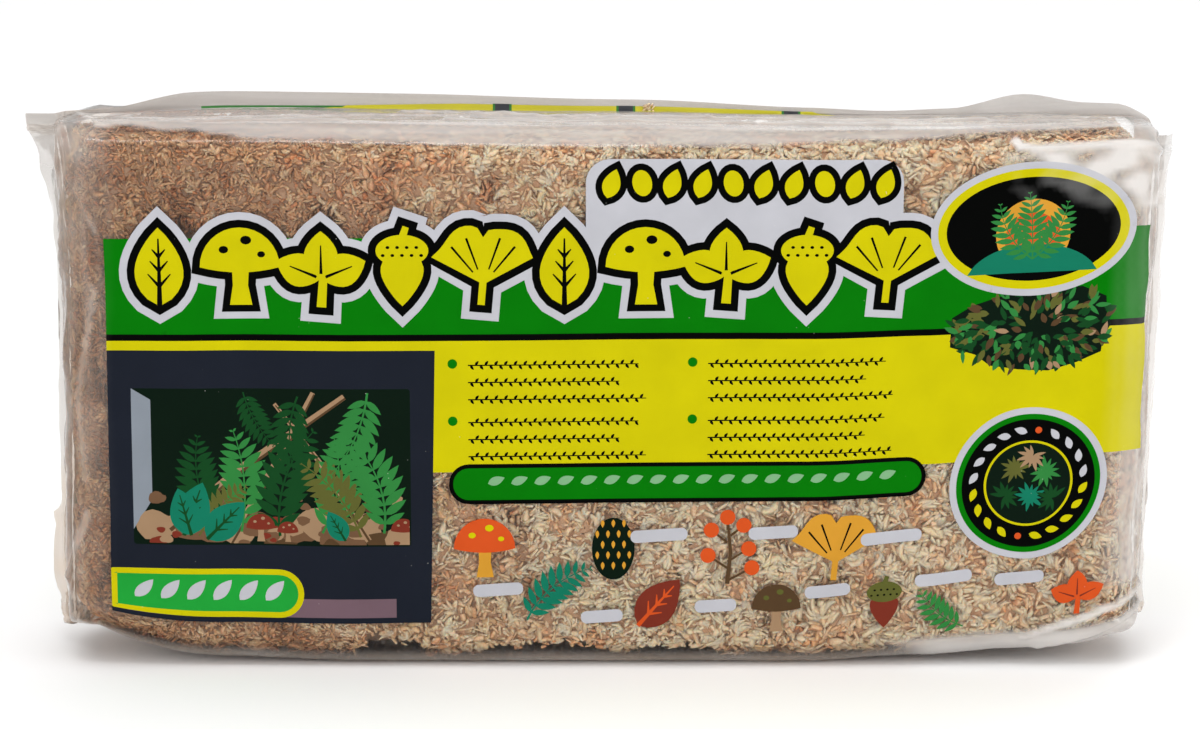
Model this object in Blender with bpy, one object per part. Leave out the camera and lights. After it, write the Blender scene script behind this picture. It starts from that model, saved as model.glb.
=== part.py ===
"""A pressed brick of dried moss, sealed in a clear film bag that stands on its long narrow side.

X runs along the brick, Y from front to back and Z up from the surface that the bag stands on.
The origin is under the middle of the bag. Lengths are in metres.
"""

import math

import bmesh
import bpy
from mathutils import Vector, noise

# Brick of moss; its height and ends are those of a plain brick before it is bowed and rounded
BRICK_LEFT = -0.1375
BRICK_RIGHT = 0.1415
BRICK_DEPTH = 0.0480
BRICK_HEIGHT = 0.1395
EDGE_RADIUS = 0.0080
LUMP_DEPTH = 0.0014
LUMP_SIZE = 0.020
FINE_LUMP_SIZE = 0.009
LUMP_SHARE = 0.75
FINE_LUMP_SHARE = 0.35
LUMP_SEED = Vector((3.7, 1.9, 8.3))
RIGHT_TAPER = 0.0022
BRICK_CELL = 0.0130
EDGE_CUT_ANGLES = (30.0, 15.0)

# The two halves of the bag lie on these sides of the brick
FRONT = -1.0
BACK = 1.0

# Film bag, drawn thicker than real film so that it is a solid
FILM_THICKNESS = 0.0005
FILM_CLEARANCE = 0.0009
PLY_SPACING = 0.0010
GATHER = 0.16
SEAM_GATHER = 0.0040
ARC_STEPS = 4
BEND_STEPS = 3
UNDER_SHARES = (1.0, 0.5)
OVER_SHARES = (0.35, 0.7)
RISE_SHARES = (0.0, 0.5, 1.0)
END_CELLS = [0.0, 0.009, 0.018, 0.028, 0.040]
FILM_CELL = 0.026

# Seals that stand out from the two ends of the bag
SEAL_WIDTH = 0.0062
SEAL_ROOT_RADIUS = 0.0012
SEAL_BEND_RADIUS = 0.0020
SEAL_BOTTOM = {"left": 0.0060, "right": 0.0090}
SEAL_TOP = {"left": 0.1428, "right": 0.1370}
# Angles in degrees by which each end seal is folded back, at even steps from its bottom to its top
SEAL_FOLD = {
    "left": [62.0, 60.0, 76.0, 86.0, 88.0, 84.0, 58.0, 6.0],
    "right": [82.0, 88.0, 86.0, 82.0, 80.0, 78.0, 76.0, 72.0],
}
# Distance that each end seal's root stands off the brick, at the same even steps
SEAL_STANDOFF = {
    "left": [0.0040, 0.0022, 0.0014, 0.0010, 0.0010, 0.0014, 0.0024, 0.0038],
    "right": [0.0036, 0.0018, 0.0012, 0.0012, 0.0012, 0.0014, 0.0018, 0.0028],
}
PANEL_BANDS = len(SEAL_FOLD["left"]) - 1

# Underside of the brick along X: flat in the middle and bowed up towards the ends
UNDERSIDE = [(-0.139, 0.0026), (-0.100, 0.0013), (-0.060, 0.0), (0.055, 0.0), (0.084, 0.0016),
             (0.110, 0.0034), (0.142, 0.0056)]
# Change in the height of the brick's top along X
TOP_CHANGE = [(-0.139, 0.0010), (-0.100, 0.0010), (0.0, 0.0), (0.075, -0.0012), (0.142, 0.0002)]
# Way of the top seam from front to back, along X
SEAM_LINE = [(-0.134, 0.0010), (-0.098, 0.0140), (0.106, 0.0140), (0.138, 0.0010)]
# Way of the slit that stands in for the fold under the brick, along X
SLIT_LINE = [(-0.130, 0.0), (-0.095, 0.0110), (0.098, 0.0110), (0.134, 0.0)]
# Height of the film's standing top seam above the film on the brick's top, along X
SEAM_RISE = [(-0.150, 0.0010), (-0.132, 0.0010), (-0.107, 0.0044), (-0.050, 0.0042),
             (0.010, 0.0032), (0.055, 0.0020), (0.075, 0.0014), (0.092, 0.0018),
             (0.112, 0.0052), (0.126, 0.0036), (0.134, 0.0036), (0.146, 0.0008)]

# Corners of the brick seen from the front: radii along X and along Z
CORNER_RADII = {
    ("left", "bottom"): (0.042, 0.016),
    ("right", "bottom"): (0.018, 0.010),
    ("left", "top"): (0.011, 0.011),
    ("right", "top"): (0.009, 0.009),
}

# Where the film stops following a rounded lower corner, and the height over which its lift fades
CORNER_REACH = 0.0065
CORNER_FADE = 0.020

# Colours as red, green, blue and alpha, with the roughness of each finish
MOSS_COLOUR = (0.44, 0.31, 0.20, 1.0)
MOSS_ROUGHNESS = 0.95
FILM_COLOUR = (0.86, 0.87, 0.86, 0.35)
FILM_ROUGHNESS = 0.15
SMOOTH_ANGLE = 50.0


def along(profile, position):
    """Return the value of a smooth profile, given as (position, value) pairs, at one position."""
    if position <= profile[0][0]:
        return profile[0][1]
    for (start, low), (end, high) in zip(profile, profile[1:]):
        if position <= end:
            share = (position - start) / (end - start)
            ease = share * share * (3.0 - 2.0 * share)
            return low + (high - low) * ease
    return profile[-1][1]


def corner_rise(x):
    """Return how far the two lower corners lift the brick's underside at x."""
    for side, end, inward in (("left", BRICK_LEFT, 1.0), ("right", BRICK_RIGHT, -1.0)):
        radius_x, radius_z = CORNER_RADII[side, "bottom"]
        depth = radius_x - inward * (x - end)
        if depth > 0.0:
            share = min(depth / radius_x, 1.0)
            return radius_z * (1.0 - math.sqrt(1.0 - share * share))
    return 0.0


def brick_height_at(x, height):
    """Return the real height of a point whose height on a plain brick is given."""
    bottom = FILM_THICKNESS / 2 + FILM_CLEARANCE + along(UNDERSIDE, x)
    top = FILM_THICKNESS / 2 + FILM_CLEARANCE + BRICK_HEIGHT + along(TOP_CHANGE, x)
    return bottom + (top - bottom) * height / BRICK_HEIGHT


def tapered(x, height):
    """Return x drawn in towards the brick's right end where the end leans in at its bottom."""
    return x - RIGHT_TAPER * max(x, 0.0) / BRICK_RIGHT * (1.0 - height / BRICK_HEIGHT)


def steps(start, end, cell):
    """Return evenly spaced values from start to end, both included, about a cell apart."""
    count = max(1, round(abs(end - start) / cell))
    return [start + (end - start) * index / count for index in range(count + 1)]


def slice_positions(low, high):
    """Return where the plain brick is sliced: fine along both rounded edges, coarser between."""
    edge = [EDGE_RADIUS * (1.0 - math.tan(math.radians(angle))) for angle in EDGE_CUT_ANGLES]
    inside = steps(low + EDGE_RADIUS, high - EDGE_RADIUS, BRICK_CELL)
    return [low + offset for offset in edge] + inside + [high - offset for offset in edge]


def sliced_box():
    """Return a bmesh of the plain brick, sliced along X, Y and Z."""
    mesh = bmesh.new()
    bmesh.ops.create_cube(mesh, size=1.0)
    middle = Vector(((BRICK_LEFT + BRICK_RIGHT) / 2, 0.0, BRICK_HEIGHT / 2))
    size = (BRICK_RIGHT - BRICK_LEFT, BRICK_DEPTH, BRICK_HEIGHT)
    bmesh.ops.scale(mesh, vec=size, verts=mesh.verts)
    bmesh.ops.translate(mesh, vec=middle, verts=mesh.verts)
    spans = ((BRICK_LEFT, BRICK_RIGHT), (-BRICK_DEPTH / 2, BRICK_DEPTH / 2), (0.0, BRICK_HEIGHT))
    for axis, (low, high) in enumerate(spans):
        normal = Vector((0.0, 0.0, 0.0))
        normal[axis] = 1.0
        for position in slice_positions(low, high):
            bmesh.ops.bisect_plane(
                mesh, geom=mesh.verts[:] + mesh.edges[:] + mesh.faces[:],
                plane_co=normal * position, plane_no=normal)
    return mesh


def round_edges(point):
    """Round the edges of the plain brick: return the moved point and its outward direction."""
    low = Vector((BRICK_LEFT, -BRICK_DEPTH / 2, 0.0))
    high = Vector((BRICK_RIGHT, BRICK_DEPTH / 2, BRICK_HEIGHT))
    core = Vector(min(max(value, a + EDGE_RADIUS), b - EDGE_RADIUS)
                  for value, a, b in zip(point, low, high))
    outward = (point - core).normalized()
    return core + outward * EDGE_RADIUS, outward


def round_corners(point):
    """Round the four corners of the brick that show from the front, each with its own radii."""
    for (side, level), (radius_x, radius_z) in CORNER_RADII.items():
        centre_x = BRICK_LEFT + radius_x if side == "left" else BRICK_RIGHT - radius_x
        centre_z = radius_z if level == "bottom" else BRICK_HEIGHT - radius_z
        across = (point.x - centre_x) / radius_x * (-1.0 if side == "left" else 1.0)
        upward = (point.z - centre_z) / radius_z * (-1.0 if level == "bottom" else 1.0)
        if across > 0.0 and upward > 0.0:
            pull = max(across, upward) / math.hypot(across, upward)
            point.x = centre_x + (point.x - centre_x) * pull
            point.z = centre_z + (point.z - centre_z) * pull
    return point


def lump(point):
    """Return how deep the loose surface of the moss lies under its outer form at a point."""
    large = LUMP_SHARE * noise.noise(point / LUMP_SIZE + LUMP_SEED)
    small = FINE_LUMP_SHARE * noise.noise(point / FINE_LUMP_SIZE - LUMP_SEED)
    return LUMP_DEPTH * min(1.0, max(0.0, 0.5 + large + small))


def plain_material(name, colour, roughness):
    """Return a Principled material with one colour."""
    material = bpy.data.materials.new(name)
    material.use_nodes = True
    shader = material.node_tree.nodes["Principled BSDF"]
    shader.inputs["Base Color"].default_value = colour
    shader.inputs["Roughness"].default_value = roughness
    shader.inputs["Metallic"].default_value = 0.0
    shader.inputs["Alpha"].default_value = colour[3]
    return material


def place_object(name, mesh, material):
    """Put a finished bmesh into the scene as a named object, shaded smooth."""
    data = bpy.data.meshes.new(name)
    mesh.to_mesh(data)
    mesh.free()
    data.materials.append(material)
    data.shade_smooth()
    data.set_sharp_from_angle(angle=math.radians(SMOOTH_ANGLE))
    item = bpy.data.objects.new(name, data)
    bpy.context.scene.collection.objects.link(item)
    return item


def build_brick():
    """Build the brick of moss: a rounded block with a lumpy surface."""
    mesh = sliced_box()
    for vertex in mesh.verts:
        rounded, outward = round_edges(vertex.co.copy())
        rounded = round_corners(rounded)
        sunk = rounded - outward * lump(rounded)
        vertex.co = (tapered(sunk.x, sunk.z), sunk.y, brick_height_at(sunk.x, sunk.z))
    return place_object("moss_block", mesh, plain_material("dried moss", MOSS_COLOUR, MOSS_ROUGHNESS))


def fillet(before, corner, after, radius, count):
    """Return points on an arc of the given radius that rounds the corner between two lines."""
    back = (before - corner).normalized()
    ahead = (after - corner).normalized()
    half = back.angle(ahead) / 2
    middle = (back + ahead).normalized()
    centre = corner + middle * (radius / math.sin(half))
    start = corner + back * (radius / math.tan(half)) - centre
    turn = math.copysign(math.pi - 2 * half, start.cross(-back))
    arc = []
    for index in range(count + 1):
        angle = turn * index / count
        arc.append(centre + Vector((start.x * math.cos(angle) - start.y * math.sin(angle),
                                    start.x * math.sin(angle) + start.y * math.cos(angle))))
    return arc


def at_place(values, place):
    """Return a value at a place from 0 to 1 of a seal, from values at even steps."""
    band = min(int(place * PANEL_BANDS), PANEL_BANDS - 1)
    share = place * PANEL_BANDS - band
    return values[band] * (1.0 - share) + values[band + 1] * share


def end_stations(end, outward, standoff):
    """Return the film's way round one end of the brick, as (x, half depth) pairs.

    It leaves the flat front, rounds the upright edge, spans the end and reaches the seal's root.
    """
    half_depth = BRICK_DEPTH / 2 + FILM_CLEARANCE
    edge = Vector((end + outward * FILM_CLEARANCE, half_depth))
    flat = edge - Vector((outward * BRICK_DEPTH, 0.0))
    root = Vector((edge.x + outward * standoff, PLY_SPACING / 2))
    beyond = root + Vector((outward * SEAL_WIDTH, 0.0))
    round_edge = fillet(flat, edge, root, EDGE_RADIUS + FILM_CLEARANCE, ARC_STEPS)
    into_seal = fillet(edge, root, beyond, SEAL_ROOT_RADIUS, 2)
    return round_edge + [round_edge[-1].lerp(into_seal[0], 0.5)] + into_seal


def section_rows():
    """Return the rows that run along each half of the film, from the slit to the top seam.

    Each row is (distance out from the middle, share of the way in to the slit or the seam,
    height on the plain brick, share of the seam's rise, place in the end seal).
    """
    wide = BRICK_DEPTH / 2 + FILM_CLEARANCE
    radius = EDGE_RADIUS + FILM_CLEARANCE
    floor = -FILM_CLEARANCE
    top = BRICK_HEIGHT + FILM_CLEARANCE
    turns = [math.pi / 2 * index / ARC_STEPS for index in range(ARC_STEPS + 1)]
    heights = [BRICK_HEIGHT * band / PANEL_BANDS for band in range(1, PANEL_BANDS)]
    below = [(wide - radius, share, floor, 0.0) for share in UNDER_SHARES]
    below += [(wide - radius + radius * math.sin(turn), 0.0, floor + radius - radius * math.cos(turn), 0.0)
              for turn in turns]
    panel = [(wide, 0.0, height, 0.0) for height in heights]
    above = [(wide - radius + radius * math.cos(turn), 0.0, top - radius + radius * math.sin(turn), 0.0)
             for turn in turns]
    above += [(wide - radius, share, top, 0.0) for share in OVER_SHARES]
    above += [(wide - radius, 1.0, top, rise) for rise in RISE_SHARES]
    rows = gathered(below + panel[:1], 0.0, 1.0 / PANEL_BANDS)[:-1]
    rows += [(*row, band / PANEL_BANDS) for band, row in enumerate(panel, 1)]
    return rows + gathered(panel[-1:] + above, 1.0 - 1.0 / PANEL_BANDS, 1.0)[1:]


def gathered(rows, start, end):
    """Spread rows over a stretch of the end seal, where the film from under and over is gathered."""
    lengths = [0.0]
    for (out, share, height, rise), (next_out, next_share, next_height, next_rise) in zip(rows, rows[1:]):
        across = abs(next_out - out) + abs(next_share - share) * BRICK_DEPTH / 2
        upward = abs(next_height - height) + (next_rise - rise) * SEAM_GATHER
        lengths.append(lengths[-1] + across * GATHER + upward)
    return [(*row, start + (end - start) * length / lengths[-1]) for row, length in zip(rows, lengths)]


def film_point(row, x, half_depth, side):
    """Return a point of one half of the film, between its two end seals."""
    out, share_in, height, rise, place = row
    wide = BRICK_DEPTH / 2 + FILM_CLEARANCE
    narrow = PLY_SPACING / 2
    line = along(SLIT_LINE if height < BRICK_HEIGHT / 2 else SEAM_LINE, x)
    y = side * out * (1.0 - share_in) + (line + side * narrow) * share_in
    open_share = (half_depth - narrow) / (wide - narrow)
    real_y = side * half_depth + (y - side * wide) * open_share
    corner_x = min(max(x, BRICK_LEFT + CORNER_REACH), BRICK_RIGHT - CORNER_REACH)
    low_share = max(0.0, 1.0 - max(height, 0.0) / CORNER_FADE)
    real_z = brick_height_at(x, height) + rise * along(SEAM_RISE, x) + corner_rise(corner_x) * low_share
    end = "left" if x < 0.0 else "right"
    seal_z = SEAL_BOTTOM[end] + (SEAL_TOP[end] - SEAL_BOTTOM[end]) * place
    real_z += (seal_z - real_z) * (1.0 - open_share)
    return Vector((tapered(x, height), real_y, real_z))


def seal_points(root, outward, fold, side):
    """Return the points of one row across an end seal, which bends towards the back."""
    turn = math.radians(fold)
    straight = SEAL_WIDTH - turn * SEAL_BEND_RADIUS
    spine = []
    for step in range(1, BEND_STEPS + 1):
        angle = turn * step / BEND_STEPS
        spine.append((SEAL_BEND_RADIUS * math.sin(angle), SEAL_BEND_RADIUS * (1 - math.cos(angle)), angle))
    x, y, angle = spine[-1]
    spine.append((x + straight * math.cos(angle), y + straight * math.sin(angle), angle))
    ply = side * PLY_SPACING / 2
    return [Vector((root.x + outward * (x - ply * math.sin(angle)),
                    root.y - ply + y + ply * math.cos(angle), root.z)) for x, y, angle in spine]


def film_row(row, side):
    """Return all the points of one row of the film, from the left seal to the right seal."""
    place = row[4]
    left_end = end_stations(BRICK_LEFT, -1.0, at_place(SEAL_STANDOFF["left"], place))
    right_end = end_stations(BRICK_RIGHT, 1.0, at_place(SEAL_STANDOFF["right"], place))
    low = BRICK_LEFT + EDGE_RADIUS + max(END_CELLS)
    high = BRICK_RIGHT - EDGE_RADIUS - max(END_CELLS)
    middle = [BRICK_LEFT + EDGE_RADIUS + cell for cell in END_CELLS] + steps(low, high, FILM_CELL)[1:-1]
    middle += [BRICK_RIGHT - EDGE_RADIUS - cell for cell in reversed(END_CELLS)]
    stations = [tuple(point) for point in reversed(left_end[1:])]
    stations += [(x, left_end[0].y) for x in middle] + [tuple(point) for point in right_end[1:]]
    points = [film_point(row, x, half_depth, side) for x, half_depth in stations]
    left = seal_points(points[0], -1.0, at_place(SEAL_FOLD["left"], place), side)
    right = seal_points(points[-1], 1.0, at_place(SEAL_FOLD["right"], place), side)
    return list(reversed(left)) + points + right


def build_film(name, side, material):
    """Build one half of the film bag as a sheet of even thickness."""
    mesh = bmesh.new()
    grid = [[mesh.verts.new(point) for point in film_row(row, side)] for row in section_rows()]
    for lower, upper in zip(grid, grid[1:]):
        for index in range(len(lower) - 1):
            first = [lower[index], lower[index + 1], upper[index + 1]]
            second = [lower[index], upper[index + 1], upper[index]]
            for triangle in (first, second):
                mesh.faces.new(triangle if side == FRONT else list(reversed(triangle)))
    film = place_object(name, mesh, material)
    thicken = film.modifiers.new("film thickness", "SOLIDIFY")
    thicken.thickness = FILM_THICKNESS
    thicken.offset = 0.0
    return film


def clear_scene():
    """Remove everything that the scene holds."""
    for item in list(bpy.data.objects):
        bpy.data.objects.remove(item, do_unlink=True)


def main():
    """Build the brick and the two halves of its bag."""
    clear_scene()
    build_brick()
    film = plain_material("clear film", FILM_COLOUR, FILM_ROUGHNESS)
    build_film("bag_front", FRONT, film)
    build_film("bag_back", BACK, film)


main()
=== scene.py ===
"""Looks of a pressed brick of dried moss in a clear printed film bag that stands on its long side.

X runs along the brick, Y from front to back and Z up from the floor. Lengths are in metres.
"""

import logging
import math
from dataclasses import dataclass, field, replace
from enum import Enum
from itertools import product

import bpy
import numpy as np
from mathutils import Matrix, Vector
from mathutils.geometry import delaunay_2d_cdt


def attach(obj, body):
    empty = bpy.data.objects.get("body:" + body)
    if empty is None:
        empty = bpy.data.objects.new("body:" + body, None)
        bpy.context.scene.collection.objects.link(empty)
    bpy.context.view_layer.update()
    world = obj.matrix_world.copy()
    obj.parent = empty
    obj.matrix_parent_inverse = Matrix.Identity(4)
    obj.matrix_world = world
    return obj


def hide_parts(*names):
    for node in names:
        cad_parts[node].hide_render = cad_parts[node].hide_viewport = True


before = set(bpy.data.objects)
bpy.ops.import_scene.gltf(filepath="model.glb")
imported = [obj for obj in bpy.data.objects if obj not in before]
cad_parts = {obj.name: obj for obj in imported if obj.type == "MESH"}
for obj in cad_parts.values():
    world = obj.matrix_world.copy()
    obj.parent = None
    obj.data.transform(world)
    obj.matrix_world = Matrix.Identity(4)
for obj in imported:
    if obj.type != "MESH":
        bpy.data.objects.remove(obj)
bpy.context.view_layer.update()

MM = 0.001
log = logging.getLogger("bagged_moss")

Profile = tuple[tuple[float, float], ...]
Colour = tuple[float, float, float]


def smooth_profile(profile: Profile, position: np.ndarray) -> np.ndarray:
    """Read a profile of (position, value) pairs with eased steps between them.

    Args:
        profile: The pairs, in the order of their positions.
        position: Where to read it.

    Returns:
        The value at each position.
    """
    places = np.array([pair[0] for pair in profile])
    values = np.array([pair[1] for pair in profile])
    index = np.clip(np.searchsorted(places, position) - 1, 0, len(places) - 2)
    share = np.clip((position - places[index]) / (places[index + 1] - places[index]), 0.0, 1.0)
    ease = share * share * (3.0 - 2.0 * share)
    return values[index] + (values[index + 1] - values[index]) * ease


def fade(value: np.ndarray, start: float, end: float) -> np.ndarray:
    """Return 0 before start and 1 after end, eased between; start may lie above end."""
    share = np.clip((value - start) / (end - start), 0.0, 1.0)
    return share * share * (3.0 - 2.0 * share)


class NoiseField:
    """Smooth random values in space, the same on each run."""

    CORNERS = tuple(product((0, 1), repeat=3))
    TABLE = 256

    def __init__(self, seed: int) -> None:
        """Draw the directions of the field from a seed."""
        rng = np.random.default_rng(seed)
        self.order = np.tile(rng.permutation(self.TABLE), 2)
        ways = rng.normal(size=(self.TABLE, 3))
        self.ways = ways / np.linalg.norm(ways, axis=1, keepdims=True)

    def at(self, points: np.ndarray, size: float | tuple[float, float, float]) -> np.ndarray:
        """Read the field.

        Args:
            points: Places, one row of three numbers each.
            size: Size of the field's lumps, one number or one for each axis.

        Returns:
            Values from about -1 to 1.
        """
        scaled = points / np.asarray(size)
        cell = np.floor(scaled).astype(int)
        inside = scaled - cell
        ease = inside ** 3 * (inside * (inside * 6.0 - 15.0) + 10.0)
        total = np.zeros(len(points))
        for corner in self.CORNERS:
            spot = (cell + corner) % self.TABLE
            index = self.order[self.order[self.order[spot[:, 0]] + spot[:, 1]] + spot[:, 2]]
            dot = np.einsum("ij,ij->i", self.ways[index], inside - corner)
            weight = np.prod(np.where(corner, ease, 1.0 - ease), axis=1)
            total += dot * weight
        return total * 1.6

    def ridged(self, points: np.ndarray, size: float | tuple[float, float, float]) -> np.ndarray:
        """Return a field of thin raised creases, from 0 between them to 1 on them."""
        return 1.0 - np.minimum(1.0, 2.2 * np.abs(self.at(points, size)))


@dataclass(frozen=True)
class BrickForm:
    """Outer form of the pressed brick, as in the part's solids."""

    left: float = -0.1375
    right: float = 0.1415
    depth: float = 0.0480
    height: float = 0.1395
    edge_radius: float = 0.0080
    base_lift: float = 0.00115
    right_taper: float = 0.0022
    underside: Profile = ((-0.139, 0.0026), (-0.100, 0.0013), (-0.060, 0.0), (0.055, 0.0),
                          (0.084, 0.0016), (0.110, 0.0034), (0.142, 0.0056))
    top_change: Profile = ((-0.139, 0.0010), (-0.100, 0.0010), (0.0, 0.0), (0.075, -0.0012),
                           (0.142, 0.0002))
    corners: tuple[tuple[float, float, float, float], ...] = (
        (-1.0, -1.0, 0.042, 0.016), (1.0, -1.0, 0.018, 0.010),
        (-1.0, 1.0, 0.011, 0.011), (1.0, 1.0, 0.009, 0.009))

    def real_height(self, x: np.ndarray, height: np.ndarray) -> np.ndarray:
        """Return the real height of points whose height on a plain brick is given."""
        low = self.base_lift + smooth_profile(self.underside, x)
        high = self.base_lift + self.height + smooth_profile(self.top_change, x)
        return low + (high - low) * height / self.height

    def tapered(self, x: np.ndarray, height: np.ndarray) -> np.ndarray:
        """Return x drawn in where the right end leans in at its bottom."""
        return x - self.right_taper * np.maximum(x, 0.0) / self.right * (1.0 - height / self.height)

    def corner_rise(self, x: np.ndarray) -> np.ndarray:
        """Return how far the two lower corners lift the underside."""
        rise = np.zeros_like(x)
        for side, end in ((-1.0, self.left), (1.0, self.right)):
            radius_x, radius_z = next(c[2:] for c in self.corners if c[0] == side and c[1] < 0)
            share = np.clip((radius_x + side * (x - end)) / radius_x, 0.0, 1.0)
            rise += radius_z * (1.0 - np.sqrt(1.0 - share * share))
        return rise

    def on_shell(self, points: np.ndarray, depth: np.ndarray) -> tuple[np.ndarray, np.ndarray]:
        """Bring points near a plain brick's surface to a depth under it.

        Args:
            points: Places on or near the plain brick.
            depth: Depth of each under the rounded surface.

        Returns:
            The moved points, and the outward direction at each.
        """
        low = np.array([self.left, -self.depth / 2, 0.0]) + self.edge_radius
        high = np.array([self.right, self.depth / 2, self.height]) - self.edge_radius
        core = np.clip(points, low, high)
        outward = points - core
        length = np.linalg.norm(outward, axis=1, keepdims=True)
        outward = outward / np.maximum(length, 1e-9)
        return core + outward * (self.edge_radius - depth[:, None]), outward

    def bowed(self, points: np.ndarray) -> np.ndarray:
        """Give points of a plain brick the real brick's rounded corners, bow and taper."""
        x, y, z = points.T.copy()
        for side, level, radius_x, radius_z in self.corners:
            centre_x = self.left + radius_x if side < 0 else self.right - radius_x
            centre_z = radius_z if level < 0 else self.height - radius_z
            across = side * (x - centre_x) / radius_x
            upward = level * (z - centre_z) / radius_z
            inside = (across > 0.0) & (upward > 0.0)
            pull = np.maximum(across, upward) / np.maximum(np.hypot(across, upward), 1e-9)
            x = np.where(inside, centre_x + (x - centre_x) * pull, x)
            z = np.where(inside, centre_z + (z - centre_z) * pull, z)
        return np.stack([self.tapered(x, z), y, self.real_height(x, z)], axis=1)


def make_mesh(name: str, points: np.ndarray, faces: np.ndarray | list[np.ndarray]) -> bpy.types.Object:
    """Make a smooth mesh object from arrays.

    Args:
        name: Name of the piece.
        points: One row of three numbers for each corner.
        faces: Rows of corner numbers, or several such arrays of triangles and quads.

    Returns:
        The new object, linked to the scene.
    """
    groups = faces if isinstance(faces, list) else [faces]
    mesh = bpy.data.meshes.new(name)
    mesh.vertices.add(len(points))
    mesh.vertices.foreach_set("co", points.astype(np.float32).ravel())
    sizes = np.concatenate([np.full(len(group), group.shape[1]) for group in groups])
    mesh.loops.add(int(sizes.sum()))
    mesh.loops.foreach_set("vertex_index", np.concatenate([group.ravel() for group in groups]).astype(np.int32))
    mesh.polygons.add(len(sizes))
    mesh.polygons.foreach_set("loop_start", (np.cumsum(sizes) - sizes).astype(np.int32))
    mesh.update(calc_edges=True)
    mesh.validate()
    mesh.shade_smooth()
    item = bpy.data.objects.new(name, mesh)
    bpy.context.scene.collection.objects.link(item)
    return item


def give_values(item: bpy.types.Object, name: str, values: np.ndarray) -> None:
    """Store one number for each point of a mesh, for its material to read."""
    layer = item.data.attributes.new(name, "FLOAT", "POINT")
    layer.data.foreach_set("value", values.astype(np.float32))


class NodeSheet:
    """A material's node tree, with short calls to add and join nodes."""

    def __init__(self, name: str) -> None:
        """Start an empty material with its output node."""
        self.material = bpy.data.materials.new(name)
        self.material.use_nodes = True
        self.tree = self.material.node_tree
        self.tree.nodes.clear()
        self.output = self.tree.nodes.new("ShaderNodeOutputMaterial")

    def node(self, kind: str, inputs: dict[str | int, object] | None = None, **settings: object) -> bpy.types.Node:
        """Add a node.

        Args:
            kind: Blender's name for the node, without the leading ShaderNode.
            inputs: For each input, another node's output to link or a value to set.
            settings: The node's own settings.

        Returns:
            The new node.
        """
        made = self.tree.nodes.new("ShaderNode" + kind)
        for key, value in settings.items():
            setattr(made, key, value)
        for key, value in (inputs or {}).items():
            if isinstance(value, bpy.types.NodeSocket):
                self.tree.links.new(value, made.inputs[key])
            else:
                made.inputs[key].default_value = value
        return made

    def ramp(self, source: bpy.types.NodeSocket, stops: list[tuple[float, Colour]]) -> bpy.types.NodeSocket:
        """Add a colour ramp.

        Args:
            source: The number that picks the colour.
            stops: Positions and colours.

        Returns:
            The ramp's colour output.
        """
        ramp = self.node("ValToRGB", {"Fac": source})
        elements = ramp.color_ramp.elements
        while len(elements) < len(stops):
            elements.new(0.5)
        for element, (position, colour) in zip(elements, stops):
            element.position = position
            element.color = (*colour, 1.0)
        return ramp.outputs["Color"]

    def finish(self, shader: bpy.types.NodeSocket) -> bpy.types.Material:
        """Join the last shader to the output and return the material."""
        self.tree.links.new(shader, self.output.inputs["Surface"])
        return self.material


@dataclass(frozen=True)
class MossFinish:
    """Dried moss: cream to tan strands, running down to a warm brown where their tone is lowered as painted shade in
    the gaps.
    """

    stops: tuple[tuple[float, Colour], ...] = (
        (0.00, (0.300, 0.135, 0.062)), (0.25, (0.460, 0.226, 0.114)), (0.48, (0.630, 0.343, 0.188)),
        (0.70, (0.800, 0.505, 0.308)), (0.88, (0.900, 0.650, 0.432)), (1.00, (0.930, 0.755, 0.550)))
    rust: Colour = (1.06, 0.74, 0.57)
    green: Colour = (1.01, 0.93, 0.80)
    roughness: float = 0.92
    grain_scale: float = 1500.0
    grain: float = 0.15
    softness: float = 0.50
    soft_radius: Colour = (1.0, 0.55, 0.35)
    soft_reach: float = 0.0010

    def material(self, name: str) -> bpy.types.Material:
        """Build the material, which reads each strand's tone and tint."""
        sheet = NodeSheet(name)
        place = sheet.node("TexCoord").outputs["Object"]
        tone = sheet.node("Attribute", attribute_name="tone").outputs["Fac"]
        tint = sheet.node("Attribute", attribute_name="tint").outputs["Fac"]
        grain = sheet.node("TexNoise", {"Vector": place, "Scale": self.grain_scale, "Detail": 3.0}).outputs["Fac"]
        varied = sheet.node("MapRange", {"Value": grain, "From Min": 0.3, "From Max": 0.7,
                                         "To Min": -self.grain, "To Max": self.grain}).outputs["Result"]
        mixed = sheet.node("Math", {0: tone, 1: varied}, operation="ADD").outputs["Value"]
        colour = sheet.ramp(mixed, list(self.stops))
        for reach, tint_colour in (((0.55, 1.0), self.rust), ((0.45, 0.0), self.green)):
            amount = sheet.node("MapRange", {"Value": tint, "From Min": reach[0],
                                             "From Max": reach[1]}).outputs["Result"]
            colour = sheet.node("Mix", {"Factor": amount, "A": colour, "B": (*tint_colour, 1.0)},
                                data_type="RGBA", blend_type="MULTIPLY").outputs["Result"]
        bump = sheet.node("Bump", {"Height": grain, "Strength": 0.5, "Distance": 0.0002}).outputs["Normal"]
        shader = sheet.node("BsdfPrincipled", {
            "Base Color": colour, "Roughness": self.roughness, "Normal": bump, "Specular IOR Level": 0.15,
            "Subsurface Weight": self.softness, "Subsurface Radius": self.soft_radius,
            "Subsurface Scale": self.soft_reach})
        return sheet.finish(shader.outputs["BSDF"])


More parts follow.
